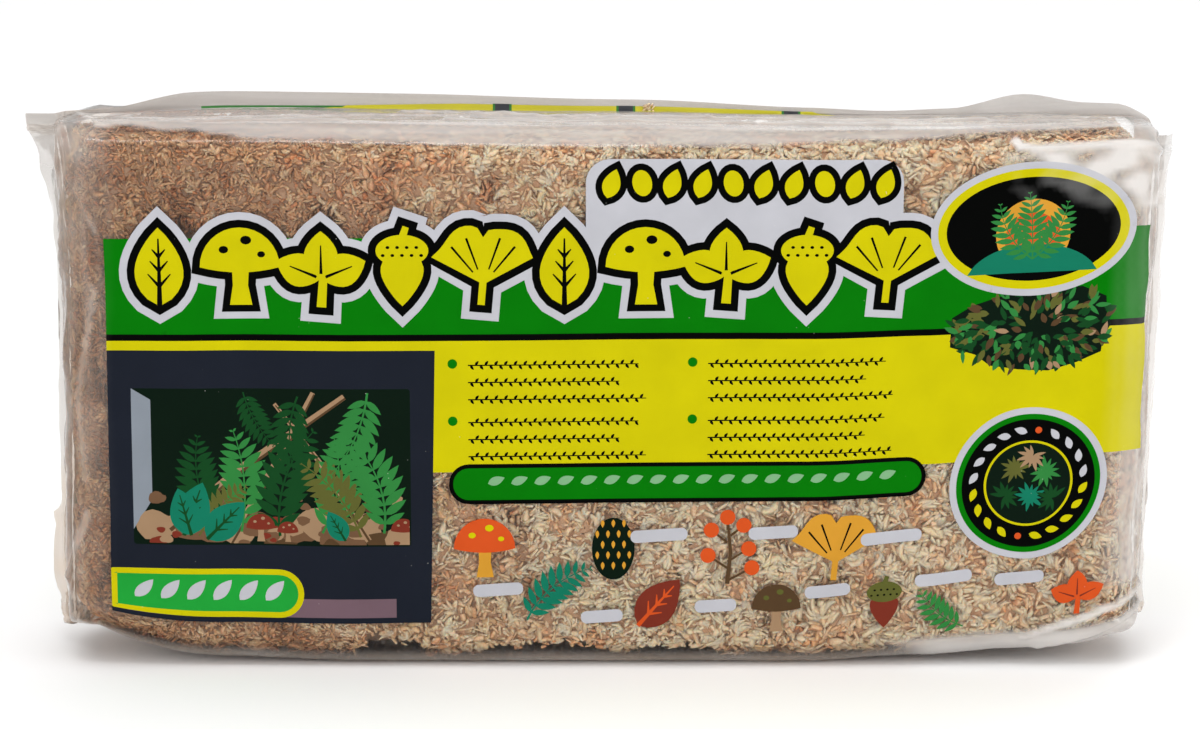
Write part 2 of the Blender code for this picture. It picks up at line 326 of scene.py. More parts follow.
@dataclass(frozen=True)
class CoreFinish:
    """Packed moss deep in the gaps between the outer strands, mixed toward a dark brown by painted shade."""

    dark: Colour = (0.500, 0.280, 0.160)
    light: Colour = (0.760, 0.500, 0.320)
    shaded: Colour = (0.260, 0.165, 0.110)
    scale: float = 260.0
    roughness: float = 1.0

    def material(self, name: str) -> bpy.types.Material:
        """Build the material."""
        sheet = NodeSheet(name)
        place = sheet.node("TexCoord").outputs["Object"]
        cells = sheet.node("TexNoise", {"Vector": place, "Scale": self.scale, "Detail": 6.0,
                                        "Roughness": 0.7}).outputs["Fac"]
        # The shade attribute mixes in the shaded brown: painted shade in the clump pits and the low gaps at the foot of
        # the front, and darker towards the left.
        shade = sheet.node("Attribute", attribute_name="shade").outputs["Fac"]
        colour = sheet.node("Mix", {"Factor": shade, "A": sheet.ramp(cells, [(0.35, self.dark), (0.75, self.light)]),
                                    "B": (*self.shaded, 1.0)}, data_type="RGBA").outputs["Result"]
        bump = sheet.node("Bump", {"Height": cells, "Strength": 1.0, "Distance": 0.0015}).outputs["Normal"]
        shader = sheet.node("BsdfPrincipled", {"Base Color": colour, "Roughness": self.roughness,
                                               "Normal": bump, "Specular IOR Level": 0.1})
        return sheet.finish(shader.outputs["BSDF"])


@dataclass(frozen=True)
class StrandKind:
    """One kind of moss bit: its size, its curl, how deep it lies and how light it is."""

    length: tuple[float, float]
    half_width: tuple[float, float]
    widths: tuple[float, ...]
    curl: float
    sink: tuple[float, float]
    tone: float
    rust: float
    in_tuft: int = 1

    def rings(self) -> np.ndarray:
        """Return the places of the spine's points along the strand, from root to tip."""
        return np.concatenate([[0.0], np.linspace(0.10, 0.88, len(self.widths)), [1.0]])


LEAFY = StrandKind(length=(0.0026, 0.0056), half_width=(0.00046, 0.00108), widths=(0.75, 1.15, 1.00, 0.62),
                   curl=3.0, sink=(0.0, 0.0012), tone=0.85, rust=-0.08, in_tuft=6)
CRUMB = StrandKind(length=(0.0016, 0.0036), half_width=(0.00038, 0.00088), widths=(1.0, 0.9), curl=1.2,
                   sink=(0.0, 0.0016), tone=0.78, rust=0.12)


class StrandHeap:
    """Strands gathered into one mesh, each with its tone and tint."""

    SECTION = ((-1.0, -0.16), (0.0, 0.42), (1.0, -0.16))
    UNEVEN = 0.16

    def __init__(self) -> None:
        """Start an empty heap."""
        self.points: list[np.ndarray] = []
        self.quads: list[np.ndarray] = []
        self.tips: list[np.ndarray] = []
        self.tones: list[np.ndarray] = []
        self.tints: list[np.ndarray] = []
        self.total = 0

    def add(self, kind: StrandKind, spine: np.ndarray, outward: np.ndarray, tone: np.ndarray, tint: np.ndarray,
            rng: np.random.Generator) -> None:
        """Add strands of one kind.

        Args:
            kind: The kind of all of them.
            spine: The points along each strand, root first.
            outward: The direction away from the brick at each of those points.
            tone: How light each strand is, from 0 to 1.
            tint: How green (0) or rust brown (1) each strand is.
            rng: Draws their widths and how they roll.
        """
        count, rings = spine.shape[:2]
        places = kind.rings()
        tangent = np.gradient(spine, axis=1)
        tangent /= np.maximum(np.linalg.norm(tangent, axis=2, keepdims=True), 1e-9)
        across = np.cross(tangent, outward)
        across /= np.maximum(np.linalg.norm(across, axis=2, keepdims=True), 1e-9)
        upward = np.cross(across, tangent)
        roll = (rng.normal(0.0, 0.4, count)[:, None] + rng.normal(0.0, 0.6, count)[:, None] * places)[..., None]
        across, upward = (across * np.cos(roll) + upward * np.sin(roll),
                          upward * np.cos(roll) - across * np.sin(roll))
        inner = slice(1, rings - 1)
        width = kind.half_width[0] + (kind.half_width[1] - kind.half_width[0]) * rng.random(count) ** 1.4
        uneven = 1.0 + rng.normal(0.0, self.UNEVEN, (count, rings - 2))
        half = (width[:, None] * np.array(kind.widths) * uneven)[..., None]
        body = np.stack([spine[:, inner] + across[:, inner] * half * a + upward[:, inner] * half * b
                         for a, b in self.SECTION], axis=2)
        points = np.concatenate([spine[:, :1], body.reshape(count, -1, 3), spine[:, -1:]], axis=1)

        per, inner_count = points.shape[1], rings - 2
        last = 1 + (inner_count - 1) * 3
        quads = [(1 + ring * 3 + edge, 1 + ring * 3 + (edge + 1) % 3, 4 + ring * 3 + (edge + 1) % 3, 4 + ring * 3 + edge)
                 for ring, edge in product(range(inner_count - 1), range(3))]
        tips = [(0, 1 + (edge + 1) % 3, 1 + edge) for edge in range(3)]
        tips += [(per - 1, last + edge, last + (edge + 1) % 3) for edge in range(3)]
        offsets = (self.total + np.arange(count) * per)[:, None, None]
        self.quads.append((np.array(quads)[None] + offsets).reshape(-1, 4))
        self.tips.append((np.array(tips)[None] + offsets).reshape(-1, 3))
        self.total += count * per
        self.points.append(points.reshape(-1, 3))
        ring_of = np.array([0] + [1 + k // 3 for k in range(inner_count * 3)] + [rings - 1])
        # Each strand is darker at its root and paler at its tip: painted shade where it sinks into the gaps, painted
        # light where it sticks out.
        along = tone[:, None] + (places[ring_of] - 0.6)[None, :] * 0.20
        self.tones.append(np.clip(along, 0.0, 1.0).ravel())
        self.tints.append(np.repeat(np.clip(tint, 0.0, 1.0), per))

    def build(self, name: str, material: bpy.types.Material, form: BrickForm | None = None) -> bpy.types.Object:
        """Make the mesh.

        Args:
            name: Its name.
            material: Its material.
            form: Where there is one, it bows the plain brick's places to the real brick.

        Returns:
            The strands as one object.
        """
        points = np.concatenate(self.points)
        item = make_mesh(name, form.bowed(points) if form else points,
                         [np.concatenate(self.quads), np.concatenate(self.tips)])
        give_values(item, "tone", np.concatenate(self.tones))
        give_values(item, "tint", np.concatenate(self.tints))
        item.data.materials.append(material)
        return item


@dataclass(frozen=True)
class StrandPatch:
    """One side of the brick and the strands that cover it, on the plain brick.

    The patch is the rectangle spanned by two sides from a corner; strands lie along it.
    """

    name: str
    corner: tuple[float, float, float]
    side_u: tuple[float, float, float]
    side_v: tuple[float, float, float]
    spacing: float
    bare: tuple[tuple[float, float, float, float], ...] = ()
    size: float = 1.0


@dataclass(frozen=True)
class Tuft:
    """A loose tuft of moss in the bag: its middle, its reach on each axis and its number of strands."""

    middle: tuple[float, float, float]
    reach: tuple[float, float, float]
    count: int
    size: float
    tint: float


@dataclass(frozen=True)
class LooseMoss:
    """Moss that came off the brick: a tuft in the upper left corner of the bag and a wisp in its top seam."""

    tufts: tuple[Tuft, ...] = (
        Tuft((-0.1338, -0.0060, 0.1370), (0.0027, 0.0080, 0.0034), 220, 0.90, 0.08),
        Tuft((-0.1290, -0.0040, 0.1405), (0.0040, 0.0080, 0.0008), 60, 0.80, 0.40),
        Tuft((0.0129, 0.0134, 0.1423), (0.0018, 0.0000, 0.0014), 14, 0.50, 0.40))
    seed: int = 41

    def build(self, material: bpy.types.Material) -> bpy.types.Object:
        """Build the loose moss as one piece."""
        rng, heap = np.random.default_rng(self.seed), StrandHeap()
        for tuft in self.tufts:
            for kind, share in ((LEAFY, 0.4), (CRUMB, 0.6)):
                count, places = max(2, int(tuft.count * share)), kind.rings()
                ball = rng.normal(size=(count, 3))
                ball *= (rng.random(count) ** 0.4 / np.linalg.norm(ball, axis=1))[:, None]
                middles = np.array(tuft.middle) + ball * np.array(tuft.reach)
                way = rng.normal(size=(count, 3)) * (np.array(tuft.reach) > 1e-6)
                way /= np.linalg.norm(way, axis=1, keepdims=True)
                side = np.cross(way, rng.normal(size=(count, 3)))
                side *= (np.array(tuft.reach) > 1e-6) / np.linalg.norm(side, axis=1, keepdims=True)
                length = (rng.uniform(*kind.length, count) * tuft.size)[:, None, None]
                bend = rng.normal(0.0, 0.5, count)[:, None, None] * (places[None, :, None] - 0.5) ** 2
                spine = middles[:, None] + length * (way[:, None] * (places[None, :, None] - 0.5) + side[:, None] * bend)
                outward = np.broadcast_to(np.array([0.0, -1.0, 0.0]), spine.shape)
                thin = replace(kind, half_width=tuple(value * tuft.size for value in kind.half_width))
                heap.add(thin, spine, outward, rng.normal(0.80, 0.12, count), rng.normal(tuft.tint, 0.1, count), rng)
        return heap.build("moss_loose", material)


@dataclass
class MossBrick:
    """The pressed moss: a packed core under thousands of curled leafy strands and crumbs."""

    form: BrickForm
    seed: int = 20
    root_depth: float = 0.0012
    tip_depth: float = 0.0004
    pit_depth: float = 0.0028
    clump_size: float = 0.0085
    way_size: float = 0.011
    stand_out: float = 0.0004
    core_depth: float = 0.0014
    gap_depth: float = 0.0024
    tuft_spread: float = 0.55
    front_splits: tuple[float, float] = (-0.060, 0.020)
    front_spacings: tuple[float, float, float] = (0.00140, 0.00168, 0.00192)
    front_sizes: tuple[float, float, float] = (0.76, 1.00, 1.24)
    core_cell: float = 0.0023
    crumb_spacing: float = 0.77
    pale_from: tuple[float, float] = (-0.110, 0.010)
    low_gaps: tuple[tuple[float, float, float], ...] = (
        (-0.0545, 0.0110, 0.0058), (-0.0140, 0.0190, 0.0046), (0.0200, 0.0130, 0.0032))

    def __post_init__(self) -> None:
        """Set up the fields that place clumps and turn the strands."""
        self.clumps = NoiseField(self.seed)
        self.ways = NoiseField(self.seed + 1)
        self.tones = NoiseField(self.seed + 2)

    def pit(self, points: np.ndarray) -> np.ndarray:
        """Return how deep the gaps between clumps are at each point, from 0 to 1."""
        large = self.clumps.at(points, self.clump_size * 1.9)
        small = self.clumps.at(points + 0.05, self.clump_size)
        open_gap = fade(-(large * 0.75 + small * 0.65), 0.12, 0.85)
        return np.clip(open_gap + 0.15 * fade(points[:, 2], 0.0085, 0.0015), 0.0, 1.0)

    def build_core(self) -> bpy.types.Object:
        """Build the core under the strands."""
        spans = ((self.form.left, self.form.right), (-self.form.depth / 2, self.form.depth / 2),
                 (0.0, self.form.height))
        points, faces, start = [], [], 0
        for axis in range(3):
            first, second = (axis + 1) % 3, (axis + 2) % 3
            counts = [int((spans[a][1] - spans[a][0]) / self.core_cell) + 2 for a in (first, second)]
            u, v = np.meshgrid(*(np.linspace(*spans[a], n) for a, n in zip((first, second), counts)),
                               indexing="ij")
            for level, turn in ((0, -1), (1, 1)):
                side = np.empty((u.size, 3))
                side[:, axis] = spans[axis][level]
                side[:, first], side[:, second] = u.ravel(), v.ravel()
                index = np.arange(u.size).reshape(u.shape) + start
                quads = np.stack([index[:-1, :-1], index[1:, :-1], index[1:, 1:], index[:-1, 1:]], axis=-1)
                quads = quads.reshape(-1, 4)
                faces.append(quads if turn > 0 else quads[:, ::-1])
                points.append(side)
                start += u.size
        plain = np.concatenate(points)
        gap, pit = self.low_gap(plain), self.pit(plain)
        depth = self.core_depth + self.pit_depth * pit + self.gap_depth * gap
        shell, _ = self.form.on_shell(plain, depth)
        core = make_mesh("moss_core", self.form.bowed(shell), np.concatenate(faces))
        # Painted shade: the core is darker in the clump pits and in the low gaps at the foot of the front; it is also
        # darker towards the left.
        dim = 0.34 * (1.0 - fade(plain[:, 0], *self.pale_from)) + 0.60 * pit
        give_values(core, "shade", np.clip(gap + dim, 0.0, 1.0))
        core.data.materials.append(CoreFinish().material("packed moss"))
        return core

    def scatter(self, patch: StrandPatch, kind: StrandKind, rng: np.random.Generator) -> np.ndarray:
        """Return the middles of one kind of strand on a patch, spread evenly with a random shift."""
        side_u, side_v = np.array(patch.side_u), np.array(patch.side_v)
        spacing = patch.spacing * (math.sqrt(kind.in_tuft) if kind.in_tuft > 1 else self.crumb_spacing)
        counts = [max(1, int(np.linalg.norm(side) / spacing)) for side in (side_u, side_v)]
        u, v = np.meshgrid(*(np.arange(n) for n in counts), indexing="ij")
        u = (u.ravel() + rng.random(u.size)) / counts[0]
        v = (v.ravel() + rng.random(v.size)) / counts[1]
        middles = np.array(patch.corner) + u[:, None] * side_u + v[:, None] * side_v
        shown = np.ones(len(middles), bool)
        for low_x, low_z, high_x, high_z in patch.bare:
            shown &= ~((middles[:, 0] > low_x) & (middles[:, 0] < high_x)
                       & (middles[:, 2] > low_z) & (middles[:, 2] < high_z))
        shown &= rng.random(len(middles)) > 1.4 * self.low_gap(middles)
        return middles[shown]

    def low_gap(self, points: np.ndarray) -> np.ndarray:
        """Return 1 where the brick is broken away at the foot of its front, and 0 elsewhere."""
        ragged = 1.0 + 0.9 * self.tones.at(points + 0.9, 0.004)
        gap = np.zeros(len(points))
        for middle, reach, high in self.low_gaps:
            tall = high * (1.0 - fade(np.abs(points[:, 0] - middle), reach * 0.5, reach)) * ragged
            gap = np.maximum(gap, fade(points[:, 2], tall, tall - 0.0012) * (tall > 0.0012))
        return gap * (points[:, 1] < 0.0)

    def lay(self, heap: StrandHeap, patch: StrandPatch, kind: StrandKind, rng: np.random.Generator) -> None:
        """Lay one kind of strand over a patch.

        Args:
            heap: Where the strands go.
            patch: Which side, and how closely it is covered.
            kind: The kind of strand.
            rng: The patch's random draws.
        """
        centres = self.scatter(patch, kind, rng)
        tuft = np.repeat(np.arange(len(centres)), kind.in_tuft)
        middles, count, places = centres[tuft], len(tuft), kind.rings()
        along_u = np.array(patch.side_u) / np.linalg.norm(patch.side_u)
        along_v = np.array(patch.side_v) / np.linalg.norm(patch.side_v)
        turn = self.ways.at(centres, self.way_size) * math.pi * 1.5 + rng.normal(0.0, 0.42, len(centres))
        turn = (turn + math.pi / 2 + (rng.random(len(centres)) < 0.22) * math.pi)[tuft]
        curl = kind.curl * (1.2 * self.ways.at(centres + 0.7, self.way_size) + rng.normal(0.0, 0.5, len(centres)))[tuft]
        if kind.in_tuft > 1:
            turn = turn + rng.normal(0.0, self.tuft_spread, count)
            curl = curl + rng.normal(0.0, 0.7, count)
        length = rng.uniform(*kind.length, count) * patch.size
        heading = turn[:, None] + curl[:, None] * (places[None, :] - 0.35)
        steps = np.diff(places, prepend=0.0)
        path_u, path_v = (np.cumsum(turned * steps, axis=1) for turned in (np.cos(heading), np.sin(heading)))
        anchor = 0.35 if kind.in_tuft > 1 else 1.0
        path_u -= path_u.mean(axis=1, keepdims=True) * anchor
        path_v -= path_v.mean(axis=1, keepdims=True) * anchor
        line = middles[:, None, :] + length[:, None, None] * (
            path_u[:, :, None] * along_u + path_v[:, :, None] * along_v)
        layer, pit = (0.7 * rng.random(len(centres)))[tuft] + 0.3 * rng.random(count), self.pit(middles)
        sink = kind.sink[0] + (kind.sink[1] - kind.sink[0]) * layer
        depth = sink[:, None] + self.pit_depth * 0.8 * pit[:, None]
        depth = depth + self.root_depth * (1.0 - places) ** 2 * (0.3 + 1.1 * rng.random(count))[:, None]
        depth = depth + self.tip_depth * (places ** 2) * (1.0 - 2.4 * rng.random(count) ** 1.5)[:, None]
        depth = np.maximum(depth, 0.00045 - self.stand_out)
        spine, outward = self.form.on_shell(line.reshape(-1, 3), depth.ravel())
        spine, outward = spine.reshape(count, -1, 3), outward.reshape(count, -1, 3)
        tone = kind.tone + rng.normal(0.0, 0.06, len(centres))[tuft] + rng.normal(0.0, 0.05, count)
        # Deeper strands and strands in the clump pits are darker: painted shade.
        tone -= 0.10 * layer + 0.34 * pit
        tone += 0.22 * self.tones.at(middles, 0.013) + 0.20 * self.tones.at(middles + 0.1, 0.006)
        # Paler towards the right and at the left end. Paler just under the top edge and low on the front: painted light
        # that makes up for the shade there.
        tone += 0.48 * (fade(middles[:, 0], *self.pale_from) - 0.72) + 0.08 * fade(middles[:, 2], 0.126, 0.137)
        tone += 0.08 * fade(middles[:, 2], 0.062, 0.040) + 0.18 * fade(-middles[:, 0], 0.131, 0.137)
        tint = 0.5 + kind.rust + 0.44 * self.tones.at(middles + 0.3, 0.013) + rng.normal(0.0, 0.10, len(centres))[tuft]
        sized = replace(kind, half_width=tuple(value * patch.size for value in kind.half_width))
        heap.add(sized, spine, outward, tone, tint, rng)

    def patches(self, printed: tuple[tuple[float, float, float, float], ...]) -> list[StrandPatch]:
        """Return the brick's sides with how closely each is covered; printed areas stay bare."""
        left, right, half, high = self.form.left, self.form.right, self.form.depth / 2, self.form.height
        wide, deep = right - left, self.form.depth
        middle, coarse = 0.0024, 0.0032
        front, back = printed[:-1], printed[-1:]
        fronts = [StrandPatch("moss_front_" + name, (start, -half, 0.0), (end - start, 0, 0), (0, 0, high),
                              spacing, front, size)
                  for name, start, end, spacing, size in zip(
                      ("left", "middle", "right"), (left, *self.front_splits), (*self.front_splits, right),
                      self.front_spacings, self.front_sizes)]
        return [
            *fronts,
            StrandPatch("moss_top", (left, -half, high), (wide, 0, 0), (0, deep, 0), middle),
            StrandPatch("moss_left_end", (left, half, 0.0), (0, -deep, 0), (0, 0, high), middle),
            StrandPatch("moss_right_end", (right, -half, 0.0), (0, deep, 0), (0, 0, high), middle),
            StrandPatch("moss_back", (right, half, 0.0), (-wide, 0, 0), (0, 0, high), middle, back),
            StrandPatch("moss_under", (left, half, 0.0), (wide, 0, 0), (0, -deep, 0), coarse),
        ]

    def build(self, printed: tuple[tuple[float, float, float, float], ...]) -> list[bpy.types.Object]:
        """Build and dress the whole brick.

        Args:
            printed: Parts of the front that opaque print hides, as low x, low z, high x, high z,
                and last the one on the back.

        Returns:
            The core and the strands of each side.
        """
        core = self.build_core()
        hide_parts("moss_block")
        material = MossFinish().material("dried moss")
        pieces = [core]
        for number, patch in enumerate(self.patches(printed)):
            rng = np.random.default_rng(self.seed * 100 + number)
            heap = StrandHeap()
            for kind in (CRUMB, LEAFY):
                self.lay(heap, patch, kind, rng)
            pieces.append(heap.build(patch.name, material, self.form))
        pieces.append(LooseMoss().build(material))
        for piece in pieces:
            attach(piece, "root")
        return pieces


@dataclass(frozen=True)
class EndSeal:
    """One end seal of the bag: how it stands off the brick and folds back, from bottom to top."""

    side: float
    bottom: float
    top: float
    fold: Profile
    standoff: Profile
    width: Profile


LEFT_SEAL = EndSeal(
    side=-1.0, bottom=0.0060, top=0.1428,
    fold=((0.0, 86.0), (0.045, 78.0), (0.065, 60.0), (0.10, 54.0), (0.17, 56.0), (0.218, 60.0), (0.24, 82.0),
          (0.28, 84.0), (0.43, 86.0), (0.57, 88.0), (0.71, 86.0), (0.80, 74.0), (0.90, 50.0), (1.0, 4.0)),
    standoff=((0.0, 0.0016), (0.143, 0.0016), (0.286, 0.0010), (0.43, 0.0010), (0.57, 0.0008),
              (0.71, 0.0006), (0.86, 0.0018), (1.0, 0.0038)),
    width=((0.0, 0.0036), (0.045, 0.0040), (0.062, 0.0060), (0.085, 0.0068), (0.16, 0.0066), (0.19, 0.0062),
           (0.208, 0.0084), (0.214, 0.0086), (0.222, 0.0058), (0.230, 0.0070), (0.238, 0.0056), (1.0, 0.0064)))
RIGHT_SEAL = EndSeal(
    side=1.0, bottom=0.0090, top=0.1370,
    fold=((0.0, 88.0), (0.06, 84.0), (0.13, 86.0), (0.286, 88.0), (0.43, 80.0), (0.57, 76.0),
          (0.71, 76.0), (0.86, 76.0), (1.0, 66.0)),
    standoff=((0.0, 0.0012), (0.143, 0.0010), (0.286, 0.0010), (0.57, 0.0014), (0.71, 0.0014),
              (0.86, 0.0018), (1.0, 0.0028)),
    width=((0.0, 0.0062), (1.0, 0.0062)))


@dataclass(frozen=True)
class Crease:
    """A fold line pressed into the film.

    The line runs through flat places (along the bag, round the bag). The film rises by height on the line, falls away
    over width to each side, and is whitened along the line by milk, which on some creases is a painted glint.
    """

    line: tuple[tuple[float, float], ...]
    height: float
    width: float
    milk: float = 0.0


class FilmShape:
    """The bag's film as one sheet: turns flat places on it into places in space.

    A flat place is (s, t): s runs along the bag, and t runs round it, from the back's top seam
    under the brick to the front's top seam. On the front panel s and t are x and plain height.
    """

    CLEARANCE = 0.0009
    PLY_GAP = 0.0004
    ROOT_RADIUS = 0.0012
    BEND_RADIUS = 0.0020
    GATHER = 0.16
    SEAM_GATHER = 0.0040
    FIN = 0.0045
    BACK_OVER = 0.0030
    PANEL_BANDS = 7
    CORNER_REACH = 0.0065
    CORNER_FADE = 0.020
    SEAM_LINE: Profile = ((-0.134, 0.0010), (-0.098, 0.0140), (0.106, 0.0140), (0.138, 0.0010))
    SEAM_RISE: Profile = ((-0.150, 0.0010), (-0.132, 0.0010), (-0.107, 0.0044), (-0.050, 0.0042),
                          (0.010, 0.0032), (0.055, 0.0020), (0.075, 0.0014), (0.092, 0.0018),
                          (0.112, 0.0052), (0.126, 0.0036), (0.134, 0.0036), (0.146, 0.0008))

    HAZE_EDGE: Profile = ((-0.130, 0.1436), (-0.108, 0.1408), (-0.085, 0.1374), (0.010, 0.1366), (0.030, 0.1372),
                          (0.077, 0.1400), (0.103, 0.1428), (0.140, 0.1432))

    def __init__(self, form: BrickForm, creases: tuple[Crease, ...] = ()) -> None:
        """Work out the section's table from the brick's form."""
        self.form = form
        self.creases = creases
        self.wide = form.depth / 2 + self.CLEARANCE
        self.radius = form.edge_radius + self.CLEARANCE
        self.flat_out = self.wide - self.radius
        self.over = self.flat_out + max(value for _, value in self.SEAM_LINE)
        self.turn_length = self.radius * math.pi / 2
        self.crinkle = NoiseField(71)
        self.slack = NoiseField(72)
        self.table = self._section_table()
        self.t_low, self.t_high = float(self.table[0, 0]), float(self.table[0, -1])
        self.front_low, self.front_high = self.radius - self.CLEARANCE, form.height + self.CLEARANCE - self.radius
        self.t_middle = self.front_low - self.turn_length - self.flat_out
        self.back_base = 2.0 * self.t_middle
        self.arc_length = self.radius * math.radians(87.0)
        self.arc_start = self.radius * math.tan(math.radians(43.5))
        self.span_length = self.wide - self.arc_start - self.ROOT_RADIUS
        self.root_length = self.ROOT_RADIUS * math.radians(87.0)

    def _half_section(self, over: float) -> np.ndarray:
        """Return one half's rows of (length, out, share in, height, rise, place), from the middle up.

        Args:
            over: Length of film between this half's top edge and the seam.

        Returns:
            A table with one column for each row of the section.
        """
        count = 24
        turns = np.linspace(0.0, math.pi / 2, count)
        floor, top = -self.CLEARANCE, self.form.height + self.CLEARANCE
        ones = np.ones(count)
        rise = np.linspace(0.0, 1.0, count)
        low, high = floor + self.radius, top - self.radius
        blocks = [
            (rise * self.flat_out, rise * self.flat_out, 0 * ones, floor * ones, 0 * ones),
            (turns * self.radius, self.flat_out + self.radius * np.sin(turns), 0 * ones,
             floor + self.radius * (1 - np.cos(turns)), 0 * ones),
            (rise * (high - low), self.wide * ones, 0 * ones, low + rise * (high - low), 0 * ones),
            (turns * self.radius, self.flat_out + self.radius * np.cos(turns), 0 * ones,
             high + self.radius * np.sin(turns), 0 * ones),
            (rise * over, self.flat_out * ones, rise, top * ones, 0 * ones),
            (rise * self.FIN, self.flat_out * ones, ones, top * ones, rise),
        ]
        rows, start = [], 0.0
        for number, block in enumerate(blocks):
            part = np.array(block)
            part[0] += start
            start = part[0, -1]
            rows.append(part if number == 0 else part[:, 1:])
        rows = np.concatenate(rows, axis=1)
        _, out, share, height, lift = rows
        under = np.where(height <= floor + 1e-9, 1.0 - out / self.flat_out, 0.0)
        across = np.abs(np.diff(np.where(out < self.flat_out, self.flat_out, out)))
        across += np.abs(np.diff(share) - np.diff(under)) * self.form.depth / 2
        gathered = np.abs(np.diff(height)) + np.diff(lift) * self.SEAM_GATHER + across * self.GATHER
        length = np.concatenate([[0.0], np.cumsum(gathered)])
        band = self.form.height / self.PANEL_BANDS
        panel = (out >= self.wide - 1e-9) & (height >= low)
        low_end = np.interp(band, height[panel], length[panel])
        high_end = np.interp(self.form.height - band, height[panel], length[panel])
        place = height / self.form.height
        below, above = length < low_end, length > high_end
        place = np.where(below, length / low_end / self.PANEL_BANDS, place)
        rest = (length - high_end) / (length[-1] - high_end)
        place = np.where(above, 1.0 - (1.0 - rest) / self.PANEL_BANDS, place)
        return np.concatenate([rows, place[None]])

    def _section_table(self) -> np.ndarray:
        """Return rows t, side, out, share in, height, rise and place of the whole section."""
        front = self._half_section(self.over)
        back = self._half_section(self.BACK_OVER)
        middle = self.radius - self.CLEARANCE - self.turn_length - self.flat_out
        front[0] = middle + front[0]
        back[0] = middle - back[0]
        halves = [np.concatenate([half[:1], np.full((1, half.shape[1]), side), half[1:]])
                  for half, side in ((back[:, :0:-1], 1.0), (front, -1.0))]
        return np.concatenate(halves, axis=1)

    def _end_path(self, s: np.ndarray, place: np.ndarray) -> tuple[np.ndarray, np.ndarray, np.ndarray]:
        """Follow the film from the flat front round one end to its seal.

        Args:
            s: Flat place along the bag.
            place: Place up the end seal, from 0 to 1.

        Returns:
            x, the half depth of the section there, and how far out in the seal the place lies.
        """
        left = s < 0.0
        standoff = np.where(left, smooth_profile(LEFT_SEAL.standoff, place),
                            smooth_profile(RIGHT_SEAL.standoff, place))
        edge = np.where(left, -self.form.left, self.form.right) + self.CLEARANCE
        drop = self.wide - self.PLY_GAP / 2
        turn = math.pi / 2 - np.arctan2(standoff, drop)
        way_x, way_y = np.cos(turn), -np.sin(turn)
        lead = self.radius * np.tan(turn / 2)
        root_lead = self.ROOT_RADIUS * np.tan(turn / 2)
        span = np.hypot(standoff, drop) - lead - root_lead
        nominal = edge - self.arc_start
        reach = np.abs(s)
        near = fade(reach, nominal - 0.03, nominal)
        x = reach + (edge - lead - nominal) * near
        y = np.full_like(s, self.wide)
        arc = np.clip((reach - nominal) / self.arc_length, 0.0, 1.0) * turn
        on_arc = reach > nominal
        x = np.where(on_arc, edge - lead + self.radius * np.sin(arc), x)
        y = np.where(on_arc, self.wide - self.radius * (1.0 - np.cos(arc)), y)
        along = reach - nominal - self.arc_length
        share = np.clip(along / self.span_length, 0.0, 1.0)
        x, y = x + way_x * share * span, y + way_y * share * span
        along = along - self.span_length
        bend = np.clip(along / self.root_length, 0.0, 1.0) * turn
        x = x + self.ROOT_RADIUS * (np.sin(turn) - np.sin(turn - bend))
        y = y - self.ROOT_RADIUS * (np.cos(turn - bend) - np.cos(turn))
        seal = np.maximum(along - self.root_length, 0.0)
        return np.where(left, -x, x), np.maximum(y, self.PLY_GAP / 2), seal

    def end_of(self, side: float) -> float:
        """Return the flat place where the seal starts on one side, as a distance from the middle."""
        edge = (self.form.right if side > 0 else -self.form.left) + self.CLEARANCE
        return edge - self.arc_start + self.arc_length + self.span_length + self.root_length

    def base(self, s: np.ndarray, t: np.ndarray) -> np.ndarray:
        """Place flat film on the smooth bag, without its creases.

        Args:
            s: Flat places along the bag.
            t: Flat places round the bag.

        Returns:
            One point in space for each.
        """
        columns = self.table
        side, out, share, height, rise, place = (np.interp(t, columns[0], row) for row in columns[1:])
        side = np.clip((self.t_middle - t) / 0.002, -1.0, 1.0)
        x, half_depth, seal = self._end_path(s, place)
        narrow = self.PLY_GAP / 2
        line = smooth_profile(self.SEAM_LINE, x)
        sign = np.where(t > self.t_middle, -1.0, 1.0)
        y = sign * out * (1.0 - share) + (line + side * narrow) * share
        open_share = (half_depth - narrow) / (self.wide - narrow)
        real_y = side * half_depth + (y - side * self.wide) * open_share
        corner_x = np.clip(x, self.form.left + self.CORNER_REACH, self.form.right - self.CORNER_REACH)
        low_share = np.maximum(0.0, 1.0 - np.maximum(height, 0.0) / self.CORNER_FADE)
        real_z = self.form.real_height(x, height) + rise * smooth_profile(self.SEAM_RISE, x)
        real_z = real_z + self.form.corner_rise(corner_x) * low_share
        left = s < 0.0
        seal_z = np.where(left, LEFT_SEAL.bottom + (LEFT_SEAL.top - LEFT_SEAL.bottom) * place,
                          RIGHT_SEAL.bottom + (RIGHT_SEAL.top - RIGHT_SEAL.bottom) * place)
        real_z = real_z + (seal_z - real_z) * (1.0 - open_share)
        real_x = self.form.tapered(x, height)
        fold = np.radians(np.where(left, smooth_profile(LEFT_SEAL.fold, place),
                                   smooth_profile(RIGHT_SEAL.fold, place)))
        width = np.where(left, smooth_profile(LEFT_SEAL.width, place), smooth_profile(RIGHT_SEAL.width, place))
        seal = seal * width / 0.0062
        angle = np.minimum(seal / self.BEND_RADIUS, fold)
        straight = np.maximum(seal - fold * self.BEND_RADIUS, 0.0)
        bend_x = self.BEND_RADIUS * np.sin(angle) + straight * np.cos(fold)
        bend_y = self.BEND_RADIUS * (1.0 - np.cos(angle)) + straight * np.sin(fold)
        ply = side * narrow
        outward = np.where(left, -1.0, 1.0)
        in_seal = seal > 0.0
        real_x = np.where(in_seal, real_x + outward * (bend_x - ply * np.sin(angle)), real_x)
        real_y = np.where(in_seal, real_y - ply + bend_y + ply * np.cos(angle), real_y)
        return np.stack([real_x, real_y, real_z], axis=1)

